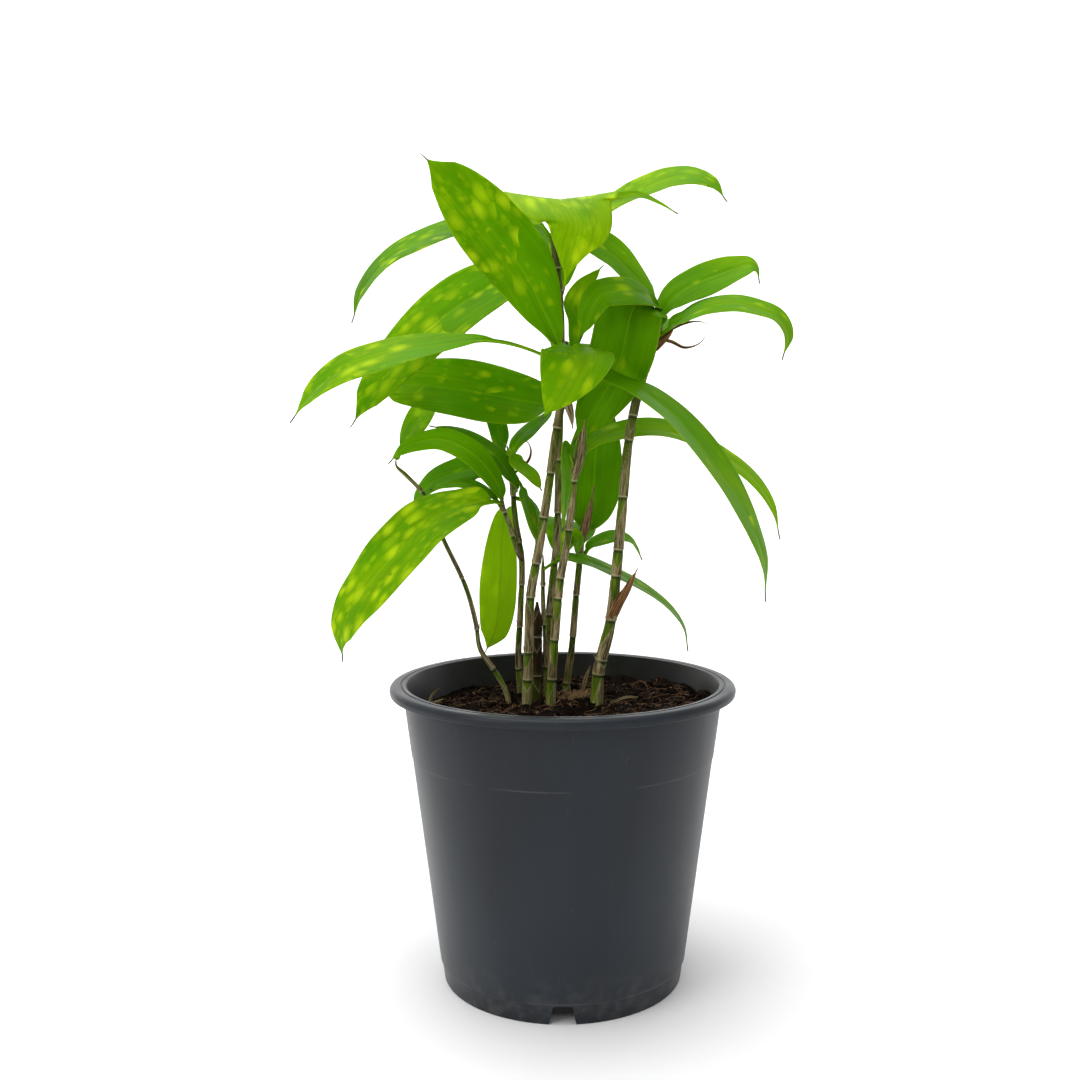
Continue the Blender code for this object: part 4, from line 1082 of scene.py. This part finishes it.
def cane_bmesh(cane, seed):
    """A cane with its husks, scars and bud, closed at both ends."""
    line = smooth_path(cane.path, 4 * PATH_SAMPLES)
    low, high = line[0].z, line[-1].z
    rotten = 1.0 if cane is CANES[DEAD_CANE] else 0.0
    rows = int((high - low) / CANE_STEP * DETAIL)
    names = ("bark_husk", "bark_dent_shade", "bark_ring", "bark_damp", "bark_dead")
    bm, place_layer, layers = grid_bmesh(rows, int(CANE_SIDES * DETAIL), "bark_place", names)
    for vert, share, angle, at_end in wrapped(bm.verts, rows):
        height = low + (high - low) * share
        along = (at_height(line, min(height + 2, high)) - at_height(line, max(height - 2, low))).normalized()
        side = Vector((1, 0, 0)) - along * along.x
        side.normalize()
        back = along.cross(side)
        # scar: the dent under each leaf scar, and the mask of its painted shadow
        lift, husk, scar, ring = bark_relief(cane, height, angle, seed)
        radius = cane_radius(cane, height) + lift
        radius *= BUD_TIP + (1 - BUD_TIP) * smooth_step(high - height, 0.0, BUD_LENGTH)
        out = side * math.cos(angle) + back * math.sin(angle)
        vert.co = in_row(at_height(line, height) + out * (0.0 if at_end else radius))
        vert[place_layer] = (math.cos(angle) * cane.foot, math.sin(angle) * cane.foot, height + 40 * seed)
        mottled = 0.5 + 0.5 * noise.noise(Vector((angle, height * 0.1, seed)))
        damp = smooth_step(DAMP_TOP - height, 0.0, DAMP_DEPTH) * mottled
        damp = max(damp, 0.35 * smooth_step(height, *GREENER))
        dead = max(rotten, 0.6 * smooth_step(height, *WITHERED))
        for layer, value in zip(layers, (husk, scar, ring, damp, dead)):
            vert[layer] = value
    return close_up(bm)


def blade_bmesh(line, leaf, phase, rows, columns, cupped=0.0, look=Look()):
    """One open blade, mapped from a flat grid onto its rib, with the values that its finish reads."""
    normals, sides = frames(line, leaf.face, leaf.twist)
    length = path_length(line)
    stalk = leaf.stalk / length
    names = ("leaf_share", "leaf_across", "leaf_side", "leaf_tone", "leaf_flecks")
    bm, place_layer, layers = grid_bmesh(rows, columns, "leaf_place", names)
    weights = bm.verts.layers.deform.verify()
    for vert in bm.verts:
        even, across = vert.co.x + 0.5, 2 * vert.co.y
        share = even - 0.05 * math.sin(2 * math.pi * even)
        half = half_width(share, leaf, stalk)
        wave = WAVE_HEIGHT * leaf.width * math.sin(2 * math.pi * WAVES * share + phase) * across ** 2
        lift = half * abs(across) * FOLD + wave * math.sin(math.pi * share)
        side = half * across
        blade = smooth_step(share, stalk, stalk + 0.12)
        lift += half * across ** 2 * (STALK_CUPPED * (1 - blade) + cupped)
        lift += RIPPLE_HEIGHT * blade * math.cos(side * RIPPLE_TURN) * (1 - abs(across))
        lift += LUMP_HEIGHT * blade * noise.noise(Vector((share * length * 0.05, side * 0.12, phase * 3)))
        lift -= MIDRIB_DEPTH * hump(side, MIDRIB_HALF) * blade
        place = sample(line, share) + sample(sides, share) * side + sample(normals, share) * lift
        vert.co = in_row(place)
        vert[place_layer] = (share * length + phase * 50, side, phase * 20)
        tone = look.tone + look.drift * (share - 0.5) * 2
        flecks = max(0.0, look.flecks * (1 + look.gather * (share - 0.5) * 2))
        for layer, value in zip(layers, (share, across, side, tone, flecks)):
            vert[layer] = value
        vert[weights][0] = 1.0 - MARGIN_THINNED * smooth_step(abs(across), 0.5, 1.0) * blade
    return bm


def give_thickness(piece, thickness, under_slot):
    """Thickens an open blade, thinner at its margins, with the chosen material on its lower side."""
    piece.vertex_groups.new(name="body")
    sheet = piece.modifiers.new("Thickness", "SOLIDIFY")
    sheet.thickness = thickness
    sheet.offset = 0.0
    sheet.vertex_group = "body"
    sheet.thickness_vertex_group = MARGIN_FACTOR
    sheet.material_offset = under_slot


def tendril_bmesh(points):
    """A dried thread, flattened and twisted, with a closed end."""
    line = smooth_path(points, PATH_SAMPLES)
    normals, sides = frames(line, (0, -1, 0.2), TENDRIL_TWIST)
    length = path_length(line)
    rows = int(length * 1.5)
    bm, place_layer, (tone_layer,) = grid_bmesh(rows, TENDRIL_SIDES, "leaf_place", ("leaf_tone",))
    for vert, share, angle, at_end in wrapped(bm.verts, rows):
        radius = 0.0 if at_end else TENDRIL_FOOT + (TENDRIL_TIP - TENDRIL_FOOT) * share
        out = sample(sides, share) * math.cos(angle) * 1.5 + sample(normals, share) * math.sin(angle) * 0.55
        vert.co = in_row(sample(line, share) + out * radius)
        vert[place_layer] = (share * length, math.cos(angle), math.sin(angle))
        vert[tone_layer] = TENDRIL_RUST
    return close_up(bm)


def scatter_place(rng, reach):
    """A random place on the soil, in millimetres, evenly spread over the disc."""
    angle, radius = rng.uniform(0, math.tau), reach * math.sqrt(rng.random())
    return turned(radius, 0.0, angle)


def colour_setting(name, description, *default):
    return FloatVectorProperty(name=name, description=description, subtype="COLOR", default=default)


def count_setting(name, description, default, most):
    return IntProperty(name=name, description=description, default=default, min=0, max=most)


def length_setting(name, description, default, least=0.0):
    return FloatProperty(name=name, description=description, unit="LENGTH", default=default, min=least,
                         precision=5)


class PotSettings(bpy.types.PropertyGroup):
    colour: colour_setting("Plastic", "Colour of the pot", 0.0130, 0.0156, 0.0200)
    # Lighter grain, and a painted sheen that grows towards the foot
    grain_and_sheen_colour: colour_setting("Plastic, lighter", "Its lighter flow marks", 0.0205, 0.0255, 0.0330)
    # Painted shade as well as a soil film: darkens the pot's inner wall
    soil_film_and_shade_colour: colour_setting("Soiled inside", "Film of soil on the inner wall", 0.0085, 0.0075, 0.0040)
    # Scuffs, drips and dust, and the painted highlights along two step edges
    dust_and_highlight_colour: colour_setting("Dust", "Scuffs and dust", 0.16, 0.15, 0.14)


class SoilSettings(bpy.types.PropertyGroup):
    colour: colour_setting("Soil", "Damp soil", 0.0035, 0.0022, 0.0016)
    light_colour: colour_setting("Soil, lighter", "Drier grains", 0.0145, 0.0082, 0.0048)
    fibre_colour: colour_setting("Fibres", "Fibres on the soil", 0.25, 0.135, 0.070)
    coir_colour: colour_setting("Coir", "The light tuft of coir", 0.40, 0.255, 0.125)
    crumbs: count_setting("Crumbs", "Number of crumbs on the soil", 1500, 3000)
    fibres: count_setting("Fibres", "Number of fibres on the soil", 800, 1500)
    coir: count_setting("Coir fibres", "Number of fibres in the tuft", 140, 500)
    chips: count_setting("Chips", "Number of bark chips on the soil", 60, 300)


class CaneSettings(bpy.types.PropertyGroup):
    husk_light: colour_setting("Husk, light", "Light streaks of the dry husk", 0.37, 0.305, 0.145)
    husk_dark: colour_setting("Husk, dark", "Dark streaks of the dry husk", 0.036, 0.029, 0.009)
    husk_warm: colour_setting("Husk, stained", "Brown stains on the husk", 0.15, 0.085, 0.035)
    stem_green: colour_setting("Stem", "Green of the bare stem", 0.135, 0.215, 0.008)
    stem_dark: colour_setting("Stem, dark", "Dark green of the bare stem", 0.045, 0.078, 0.004)
    rotten_colour: colour_setting("Dead wood", "Brown of the dead stub", 0.055, 0.026, 0.007)
    # A painted shadow line under each leaf scar's rim, in a slight dent; also the dark streaks of the dead
    # stub
    dent_shade_and_rot_colour: colour_setting("Scar", "Dark line under each leaf scar", 0.016, 0.014, 0.006)
    ring_colour: colour_setting("Ring", "Pale line of each leaf scar", 0.50, 0.44, 0.26)
    dried_light: colour_setting("Dried, light", "Light streaks of dried sheaths", 0.42, 0.21, 0.07)
    dried_dark: colour_setting("Dried, dark", "Dark streaks of dried sheaths", 0.075, 0.03, 0.01)
    sheath_thickness: length_setting("Sheath thickness", "Thickness of a dried sheath", 0.0004, 0.0001)


class LeafSettings(bpy.types.PropertyGroup):
    thickness: length_setting("Thickness", "Thickness of a blade at its rib", 0.0007, 0.0001)
    deep_colour: colour_setting("Deep green", "Shaded part of a blade", 0.060, 0.195, 0.0006)
    green_colour: colour_setting("Green", "Middle of a blade", 0.150, 0.400, 0.0006)
    light_colour: colour_setting("Light green", "Sunlit part of a blade", 0.290, 0.520, 0.001)
    fleck_colour: colour_setting("Flecks", "Colour of the flecks", 0.70, 0.86, 0.012)
    # The lower side's paler green, made bright enough to also paint light shining through from behind
    under_and_backlit_colour: colour_setting("Lower side", "Colour of the lower side", 0.55, 0.85, 0.010)
    # Also the pale line along the margin, partly a painted highlight
    rib_colour: colour_setting("Midrib", "Colour of the midrib and margin", 0.42, 0.62, 0.02)
    tip_colour: colour_setting("Tip", "Colour of the dried tip", 0.13, 0.10, 0.07)
    glow: FloatProperty(name="Glow", description="Share of the light that passes through a blade",
                        subtype="FACTOR", default=0.42, min=0.0, max=1.0)


class StageSettings(bpy.types.PropertyGroup):
    camera_distance: length_setting("Camera distance", "From the pot's axis", 0.5779)
    camera_height: length_setting("Camera height", "Above the floor", 0.2638)
    camera_pitch: FloatProperty(name="Camera pitch", description="How far the camera looks down",
                                subtype="ANGLE", default=0.081)
    lens: FloatProperty(name="Lens", description="Focal length in millimetres", default=39.4)
    axis_offset: FloatProperty(name="Axis offset", description="How far right of the middle the pot stands, "
                               "as a share of the frame's width", default=0.02098)
    floor_colour: colour_setting("Floor", "Colour of floor and backdrop", 0.94, 0.94, 0.94)


class PLANT_OT_pot(bpy.types.Operator):
    """Spin the pot, open its notches and drain holes, and give it its plastic"""
    bl_idname = "plant.pot"
    bl_label = "Pot"

    def execute(self, context):
        plastic = plastic_material(context.scene.plant_pot)
        walls = spun(pot_profile(), int(POT_SIDES * DETAIL))
        pot = finish_piece("pot_plastic", walls, [plastic], ["pot"])
        cutters = [notch_cutter(-math.pi / 2 + index * math.tau / NOTCHES) for index in range(NOTCHES)]
        for index in range(DRAIN_HOLES):
            cutters.append(drain_cutter(*turned(DRAIN_CIRCLE, 0.0, math.tau * (index + 0.5) / DRAIN_HOLES)))
        cutters.append(drain_cutter(0.0, 0.0))
        cut_away(pot, cutters)
        pot.data.set_sharp_from_angle(angle=math.radians(SHARP_ANGLE))
        return {"FINISHED"}


class PLANT_OT_soil(bpy.types.Operator):
    """Fill the pot with crumbly soil and strew crumbs, fibres and bark chips on it"""
    bl_idname = "plant.soil"
    bl_label = "Soil"

    def execute(self, context):
        settings = context.scene.plant_soil
        earth = soil_material("potting soil", settings.colour, settings.light_colour)
        straw = soil_material("soil fibres", settings.fibre_colour, settings.light_colour, FIBRE_ROUGHNESS)
        light = soil_material("coir", settings.coir_colour, settings.fibre_colour, FIBRE_ROUGHNESS)
        reach = wall_radius(SOIL_LEVEL) - WALL - 0.3
        self.fill(earth, reach)
        self.crumbs(earth, settings.crumbs, reach - 2.0)
        self.fibres(straw, settings.fibres, reach - 4.0)
        self.coir(light, settings.coir)
        self.chips(straw, settings.chips, reach - 5.0)
        return {"FINISHED"}

    def fill(self, earth, reach):
        """The body of the soil, from just above the pot's floor to its crumbly top."""
        rings = int(SOIL_RINGS * DETAIL)
        bottom = FLOOR_TOP + 0.5
        outline = [(reach * index / rings, SOIL_LEVEL) for index in range(rings + 1)]
        outline += [(wall_radius(bottom + SOIL_CORNER) - WALL - SOIL_GAP, bottom + SOIL_CORNER),
                    (wall_radius(bottom) - WALL - SOIL_GAP - SOIL_CORNER, bottom), (0.0, bottom)]
        bm = spun(outline, int(SOIL_SIDES * DETAIL))
        for vert in bm.verts:
            point = (vert.co - POT_AXIS) / MM
            if point.z > SOIL_LEVEL - 1:
                vert.co.z = POT_AXIS.z + soil_surface(point.x, point.y) * MM
        finish_piece("soil_fill", bm, [earth], ["soil"])

    def crumbs(self, earth, count, reach):
        rng = random.Random("crumbs")
        bm = bmesh.new()
        for _ in range(int(count * DETAIL)):
            x, y = scatter_place(rng, reach)
            size = 0.5 + 1.5 * rng.random() ** 3
            made = bmesh.ops.create_icosphere(bm, subdivisions=1, radius=size * MM)["verts"]
            squash = Vector((rng.uniform(0.7, 1.3), rng.uniform(0.7, 1.3), rng.uniform(0.5, 0.9)))
            centre = in_row((x, y, soil_surface(x, y) + 0.25 * size))
            for vert in made:
                jag = 1 + rng.uniform(-0.22, 0.22)
                vert.co = centre + Vector(a * b * jag for a, b in zip(vert.co, squash))
        finish_piece("soil_crumbs", bm, [earth])

    def fibres(self, straw, count, reach):
        rng = random.Random("fibres")
        bm = bmesh.new()
        for _ in range(int(count * DETAIL)):
            x, y = scatter_place(rng, reach)
            self.fibre(bm, rng, x, y, rng.uniform(3, 14), rng.uniform(0.08, 0.24))
        finish_piece("soil_fibres", close_up(bm, FIBRE_SEAM), [straw])

    def coir(self, light, count):
        """A loose light tuft between the canes."""
        rng = random.Random("coir")
        bm = bmesh.new()
        for _ in range(int(count * DETAIL)):
            x, y = (rng.gauss(middle, spread) for middle, spread in zip(COIR_CENTRE, COIR_SPREAD))
            self.fibre(bm, rng, x, y, rng.uniform(4, 11), rng.uniform(0.12, 0.3), COIR_LIFT)
        finish_piece("soil_coir", close_up(bm, FIBRE_SEAM), [light])

    def fibre(self, bm, rng, x, y, length, thickness, most_lift=1.2):
        """One thin bent fibre that lies on the soil, three-sided and pinched shut at both ends."""
        heading, bend, lift = rng.uniform(0, math.tau), rng.uniform(-0.5, 0.5), rng.uniform(0.2, most_lift)
        made = bmesh.ops.create_grid(bm, x_segments=FIBRE_ROWS, y_segments=3, size=0.5)["verts"]
        for vert, share, angle, at_end in wrapped(made, FIBRE_ROWS):
            radius = 0.0 if at_end else thickness * (1 - 0.4 * share)
            turn = heading + bend * (share - 0.5) * 3
            px = x + length * (share - 0.5) * math.cos(turn)
            py = y + length * (share - 0.5) * math.sin(turn)
            ground = soil_surface(px, py) + 0.3 + lift * math.sin(math.pi * share)
            across = radius * math.cos(angle)
            vert.co = in_row((px - across * math.sin(turn), py + across * math.cos(turn),
                              ground + radius * math.sin(angle)))

    def chips(self, straw, count, reach):
        rng = random.Random("chips")
        bm = bmesh.new()
        for _ in range(int(count * DETAIL)):
            x, y = scatter_place(rng, reach)
            made = bmesh.ops.create_cube(bm, size=1.0)["verts"]
            size = Vector((rng.uniform(1.5, 4.5), rng.uniform(0.8, 2.0), rng.uniform(0.3, 0.8)))
            turn, tip = rng.uniform(0, math.tau), rng.uniform(-0.4, 0.4)
            for vert in made:
                local = Vector(a * b * rng.uniform(0.7, 1.1) for a, b in zip(vert.co, size))
                laid = Vector((*turned(local.x, local.y, turn), local.z + local.x * tip))
                vert.co = in_row(laid + Vector((x, y, soil_surface(x, y) + 0.3)))
        finish_piece("soil_chips", bm, [straw], smooth=False)


class PLANT_OT_canes(bpy.types.Operator):
    """Grow the canes with their leaf scars and papery husks"""
    bl_idname = "plant.canes"
    bl_label = "Canes"

    def execute(self, context):
        bark = bark_material(context.scene.plant_canes)
        for seed, (name, cane) in enumerate(CANES.items(), start=1):
            nodes = [] if name == BRANCH else ["cane_" + name]
            finish_piece(f"cane_{name}_bark", cane_bmesh(cane, seed), [bark], nodes)
        return {"FINISHED"}


class PLANT_OT_dry_growth(bpy.types.Operator):
    """Add the dried sheaths, the thread-like dried tips, the dry bits on the soil and the shreds of husk"""
    bl_idname = "plant.dry_growth"
    bl_label = "Dried sheaths"

    def execute(self, context):
        settings = context.scene.plant_canes
        husk = husk_material(settings)
        for name, sheaths in SHEATHS.items():
            rusty = Look(0.0, SHEATH_RUST[name], 0.0)
            line = smooth_path(CANES[name].path, PATH_SAMPLES)
            for number, sheath in enumerate(sheaths, start=1):
                rib = smooth_path([at_height(line, sheath.height)] + list(sheath.rib), PATH_SAMPLES)
                bm = blade_bmesh(rib, sheath, number, *SHEATH_GRID, SHEATH_CUPPED, rusty)
                piece = finish_piece(f"sheath_{name}_{number}", bm, [husk])
                give_thickness(piece, settings.sheath_thickness, 0)
        for name, routes in TENDRILS.items():
            for number, points in enumerate(routes, start=1):
                finish_piece(f"dried_tip_{name}_{number}", tendril_bmesh(points), [husk])
        rusty = Look(0.0, LITTER_RUST, 0.0)
        for number, bit in enumerate(LITTER, start=1):
            rib = smooth_path(bit.rib, PATH_SAMPLES)
            bm = blade_bmesh(rib, bit, number, *LITTER_GRID, LITTER_CUPPED, rusty)
            piece = finish_piece(f"dry_bit_{number}", bm, [husk])
            give_thickness(piece, settings.sheath_thickness, 0)
        self.shreds(husk)
        return {"FINISHED"}

    def shreds(self, husk):
        """Short torn ends of old husks that stand off the canes above their leaf scars."""
        rng = random.Random("shreds")
        bm = bmesh.new()
        layers = bm.verts.layers.float_vector.new("leaf_place"), bm.verts.layers.float.new("leaf_tone")
        for cane in CANES.values():
            line = smooth_path(cane.path, PATH_SAMPLES)
            for height in cane.rings:
                for _ in range(rng.choice((1, 2, 2, 3))):
                    self.shred(bm, rng, at_height(line, height), cane_radius(cane, height), layers)
        bmesh.ops.solidify(bm, geom=bm.faces, thickness=-SHRED_THICKNESS * MM)
        finish_piece("husk_shreds", bm, [husk])

    def shred(self, bm, rng, heart, radius, layers):
        """One narrow pointed flap, pressed to the cane at its foot and curling away at its tip."""
        angle, length, width = rng.uniform(0, math.tau), rng.uniform(1.5, SHRED_LENGTH), rng.uniform(0.8, 1.7)
        curl, slant, tone = rng.uniform(0.05, 0.45), rng.uniform(-0.35, 0.35), rng.uniform(0.0, 0.5)
        place_layer, tone_layer = layers
        out = Vector((math.cos(angle), math.sin(angle), 0))
        round_it = Vector((-math.sin(angle), math.cos(angle), 0))
        for vert in bmesh.ops.create_grid(bm, x_segments=5, y_segments=2, size=0.5)["verts"]:
            share, side = vert.co.x + 0.5, width * vert.co.y * (1.02 - vert.co.x - 0.5)
            lift = radius + 0.15 + curl * length * share ** 2
            vert.co = in_row(heart + out * lift + round_it * (side + slant * length * share)
                             + Vector((0, 0, length * share)))
            vert[place_layer] = (share * length + 50 * tone, side, heart.z)
            vert[tone_layer] = tone


class PLANT_OT_leaves(bpy.types.Operator):
    """Grow every leaf along its rib, with veins, thin margins, flecks and a drawn-out tip"""
    bl_idname = "plant.leaves"
    bl_label = "Leaves"

    def execute(self, context):
        settings = context.scene.plant_leaves
        finishes = [leaf_upper_material(settings), leaf_under_material(settings)]
        for cane_name, leaves in LEAVES.items():
            for number, leaf in enumerate(leaves, start=1):
                self.grow(f"{cane_name}_{number}", leaf, CANES[cane_name], finishes, settings.thickness)
        return {"FINISHED"}

    def grow(self, name, leaf, cane, finishes, thickness):
        """One leaf, whose rib starts inside its cane and leaves it towards the blade."""
        line = smooth_path(cane.path, PATH_SAMPLES)
        heart = at_height(line, leaf.height)
        along = (at_height(line, leaf.height + 2) - at_height(line, leaf.height - 2)).normalized()
        out = Vector(leaf.rib[0]) - heart
        out = (out - along * out.dot(along)).normalized()
        start = heart + out * (0.6 * cane_radius(cane, leaf.height))
        rib = smooth_path([start] + list(leaf.rib), 2 * PATH_SAMPLES)
        phase = random.Random("leaf_" + name).uniform(0, math.tau)
        bm = blade_bmesh(rib, leaf, phase, int(LEAF_ROWS * DETAIL), int(LEAF_COLUMNS * DETAIL),
                         look=LOOKS.get(name, Look()))
        piece = finish_piece(f"leaf_{name}_blade", bm, finishes, ["leaf_" + name])
        give_thickness(piece, thickness, 1)


class PLANT_OT_stage(bpy.types.Operator):
    """Set the floor, the soft lights and the camera"""
    bl_idname = "plant.stage"
    bl_label = "Stage"

    def execute(self, context):
        settings = context.scene.plant_stage
        self.backdrop(settings.floor_colour)
        self.world(context.scene)
        for lamp in LAMPS:
            self.lamp(*lamp)
        self.camera(context.scene, settings)
        return {"FINISHED"}

    def backdrop(self, colour):
        """A pale floor that sweeps up behind the plant."""
        bm = bmesh.new()
        outline = [(FLOOR_REACH, 0.0)]
        for step in range(SWEEP_STEPS + 1):
            angle = step * math.pi / 2 / SWEEP_STEPS
            reach = -SWEEP_START - SWEEP_RADIUS * math.sin(angle)
            outline.append((reach, SWEEP_RADIUS * (1 - math.cos(angle))))
        outline.append((-SWEEP_START - SWEEP_RADIUS, FLOOR_REACH))
        points = [bm.verts.new((-FLOOR_REACH, -reach, height)) for reach, height in outline]
        lines = [bm.edges.new(pair) for pair in zip(points, points[1:])]
        grown = bmesh.ops.extrude_edge_only(bm, edges=lines)["geom"]
        moved = [item for item in grown if isinstance(item, bmesh.types.BMVert)]
        bmesh.ops.translate(bm, verts=moved, vec=(2 * FLOOR_REACH, 0, 0))
        mesh = bpy.data.meshes.new("backdrop")
        bm.to_mesh(mesh)
        bm.free()
        mesh.polygons.foreach_set("use_smooth", [True] * len(mesh.polygons))
        finish, nodes, surface = new_material("pale backdrop", 0.9, 0.5)
        nodes.feed(surface["Base Color"], colour)
        mesh.materials.append(finish)
        floor = bpy.data.objects.new("backdrop", mesh)
        bpy.context.scene.collection.objects.link(floor)

    def world(self, scene):
        world = bpy.data.worlds.new("soft studio")
        world.use_nodes = True
        background = world.node_tree.nodes["Background"]
        background.inputs["Color"].default_value = (1, 1, 1, 1)
        background.inputs["Strength"].default_value = WORLD_STRENGTH
        scene.world = world
        scene.view_settings.view_transform = "Standard"

    def lamp(self, name, place, size, power, target):
        light = bpy.data.lights.new(name, "AREA")
        light.size = size
        light.energy = power
        lamp = bpy.data.objects.new(name, light)
        lamp.location = place
        lamp.rotation_euler = (target - lamp.location).to_track_quat("-Z", "Y").to_euler()
        bpy.context.scene.collection.objects.link(lamp)

    def camera(self, scene, settings):
        lens = bpy.data.cameras.new("camera")
        lens.lens = settings.lens
        lens.sensor_width = SENSOR_WIDTH
        lens.shift_x = -settings.axis_offset
        camera = bpy.data.objects.new("camera", lens)
        camera.location = POT_AXIS + Vector((0, -settings.camera_distance, settings.camera_height))
        camera.rotation_euler = (math.pi / 2 - settings.camera_pitch, 0, 0)
        scene.collection.objects.link(camera)
        scene.camera = camera


class PLANT_PT_panel(bpy.types.Panel):
    bl_label = "Potted Cane Plant"
    bl_space_type = "VIEW_3D"
    bl_region_type = "UI"
    bl_category = "Plant"

    def draw(self, context):
        for operator in OPERATORS:
            self.layout.operator(operator.bl_idname)
        for key in SETTINGS:
            group = getattr(context.scene, key)
            box = self.layout.box()
            for name in group.__annotations__:
                box.prop(group, name)


SETTINGS = {
    "plant_pot": PotSettings,
    "plant_soil": SoilSettings,
    "plant_canes": CaneSettings,
    "plant_leaves": LeafSettings,
    "plant_stage": StageSettings,
}
OPERATORS = (PLANT_OT_pot, PLANT_OT_soil, PLANT_OT_canes, PLANT_OT_dry_growth, PLANT_OT_leaves,
             PLANT_OT_stage)


def register():
    for cls in (*SETTINGS.values(), *OPERATORS, PLANT_PT_panel):
        bpy.utils.register_class(cls)
    for key, group in SETTINGS.items():
        setattr(bpy.types.Scene, key, PointerProperty(type=group))


def unregister():
    for key in SETTINGS:
        delattr(bpy.types.Scene, key)
    for cls in (PLANT_PT_panel, *reversed(OPERATORS), *reversed(SETTINGS.values())):
        bpy.utils.unregister_class(cls)


def main():
    register()
    bpy.ops.plant.pot()
    bpy.ops.plant.soil()
    bpy.ops.plant.canes()
    bpy.ops.plant.dry_growth()
    bpy.ops.plant.leaves()
    bpy.ops.plant.stage()


if __name__ == "__main__":
    main()
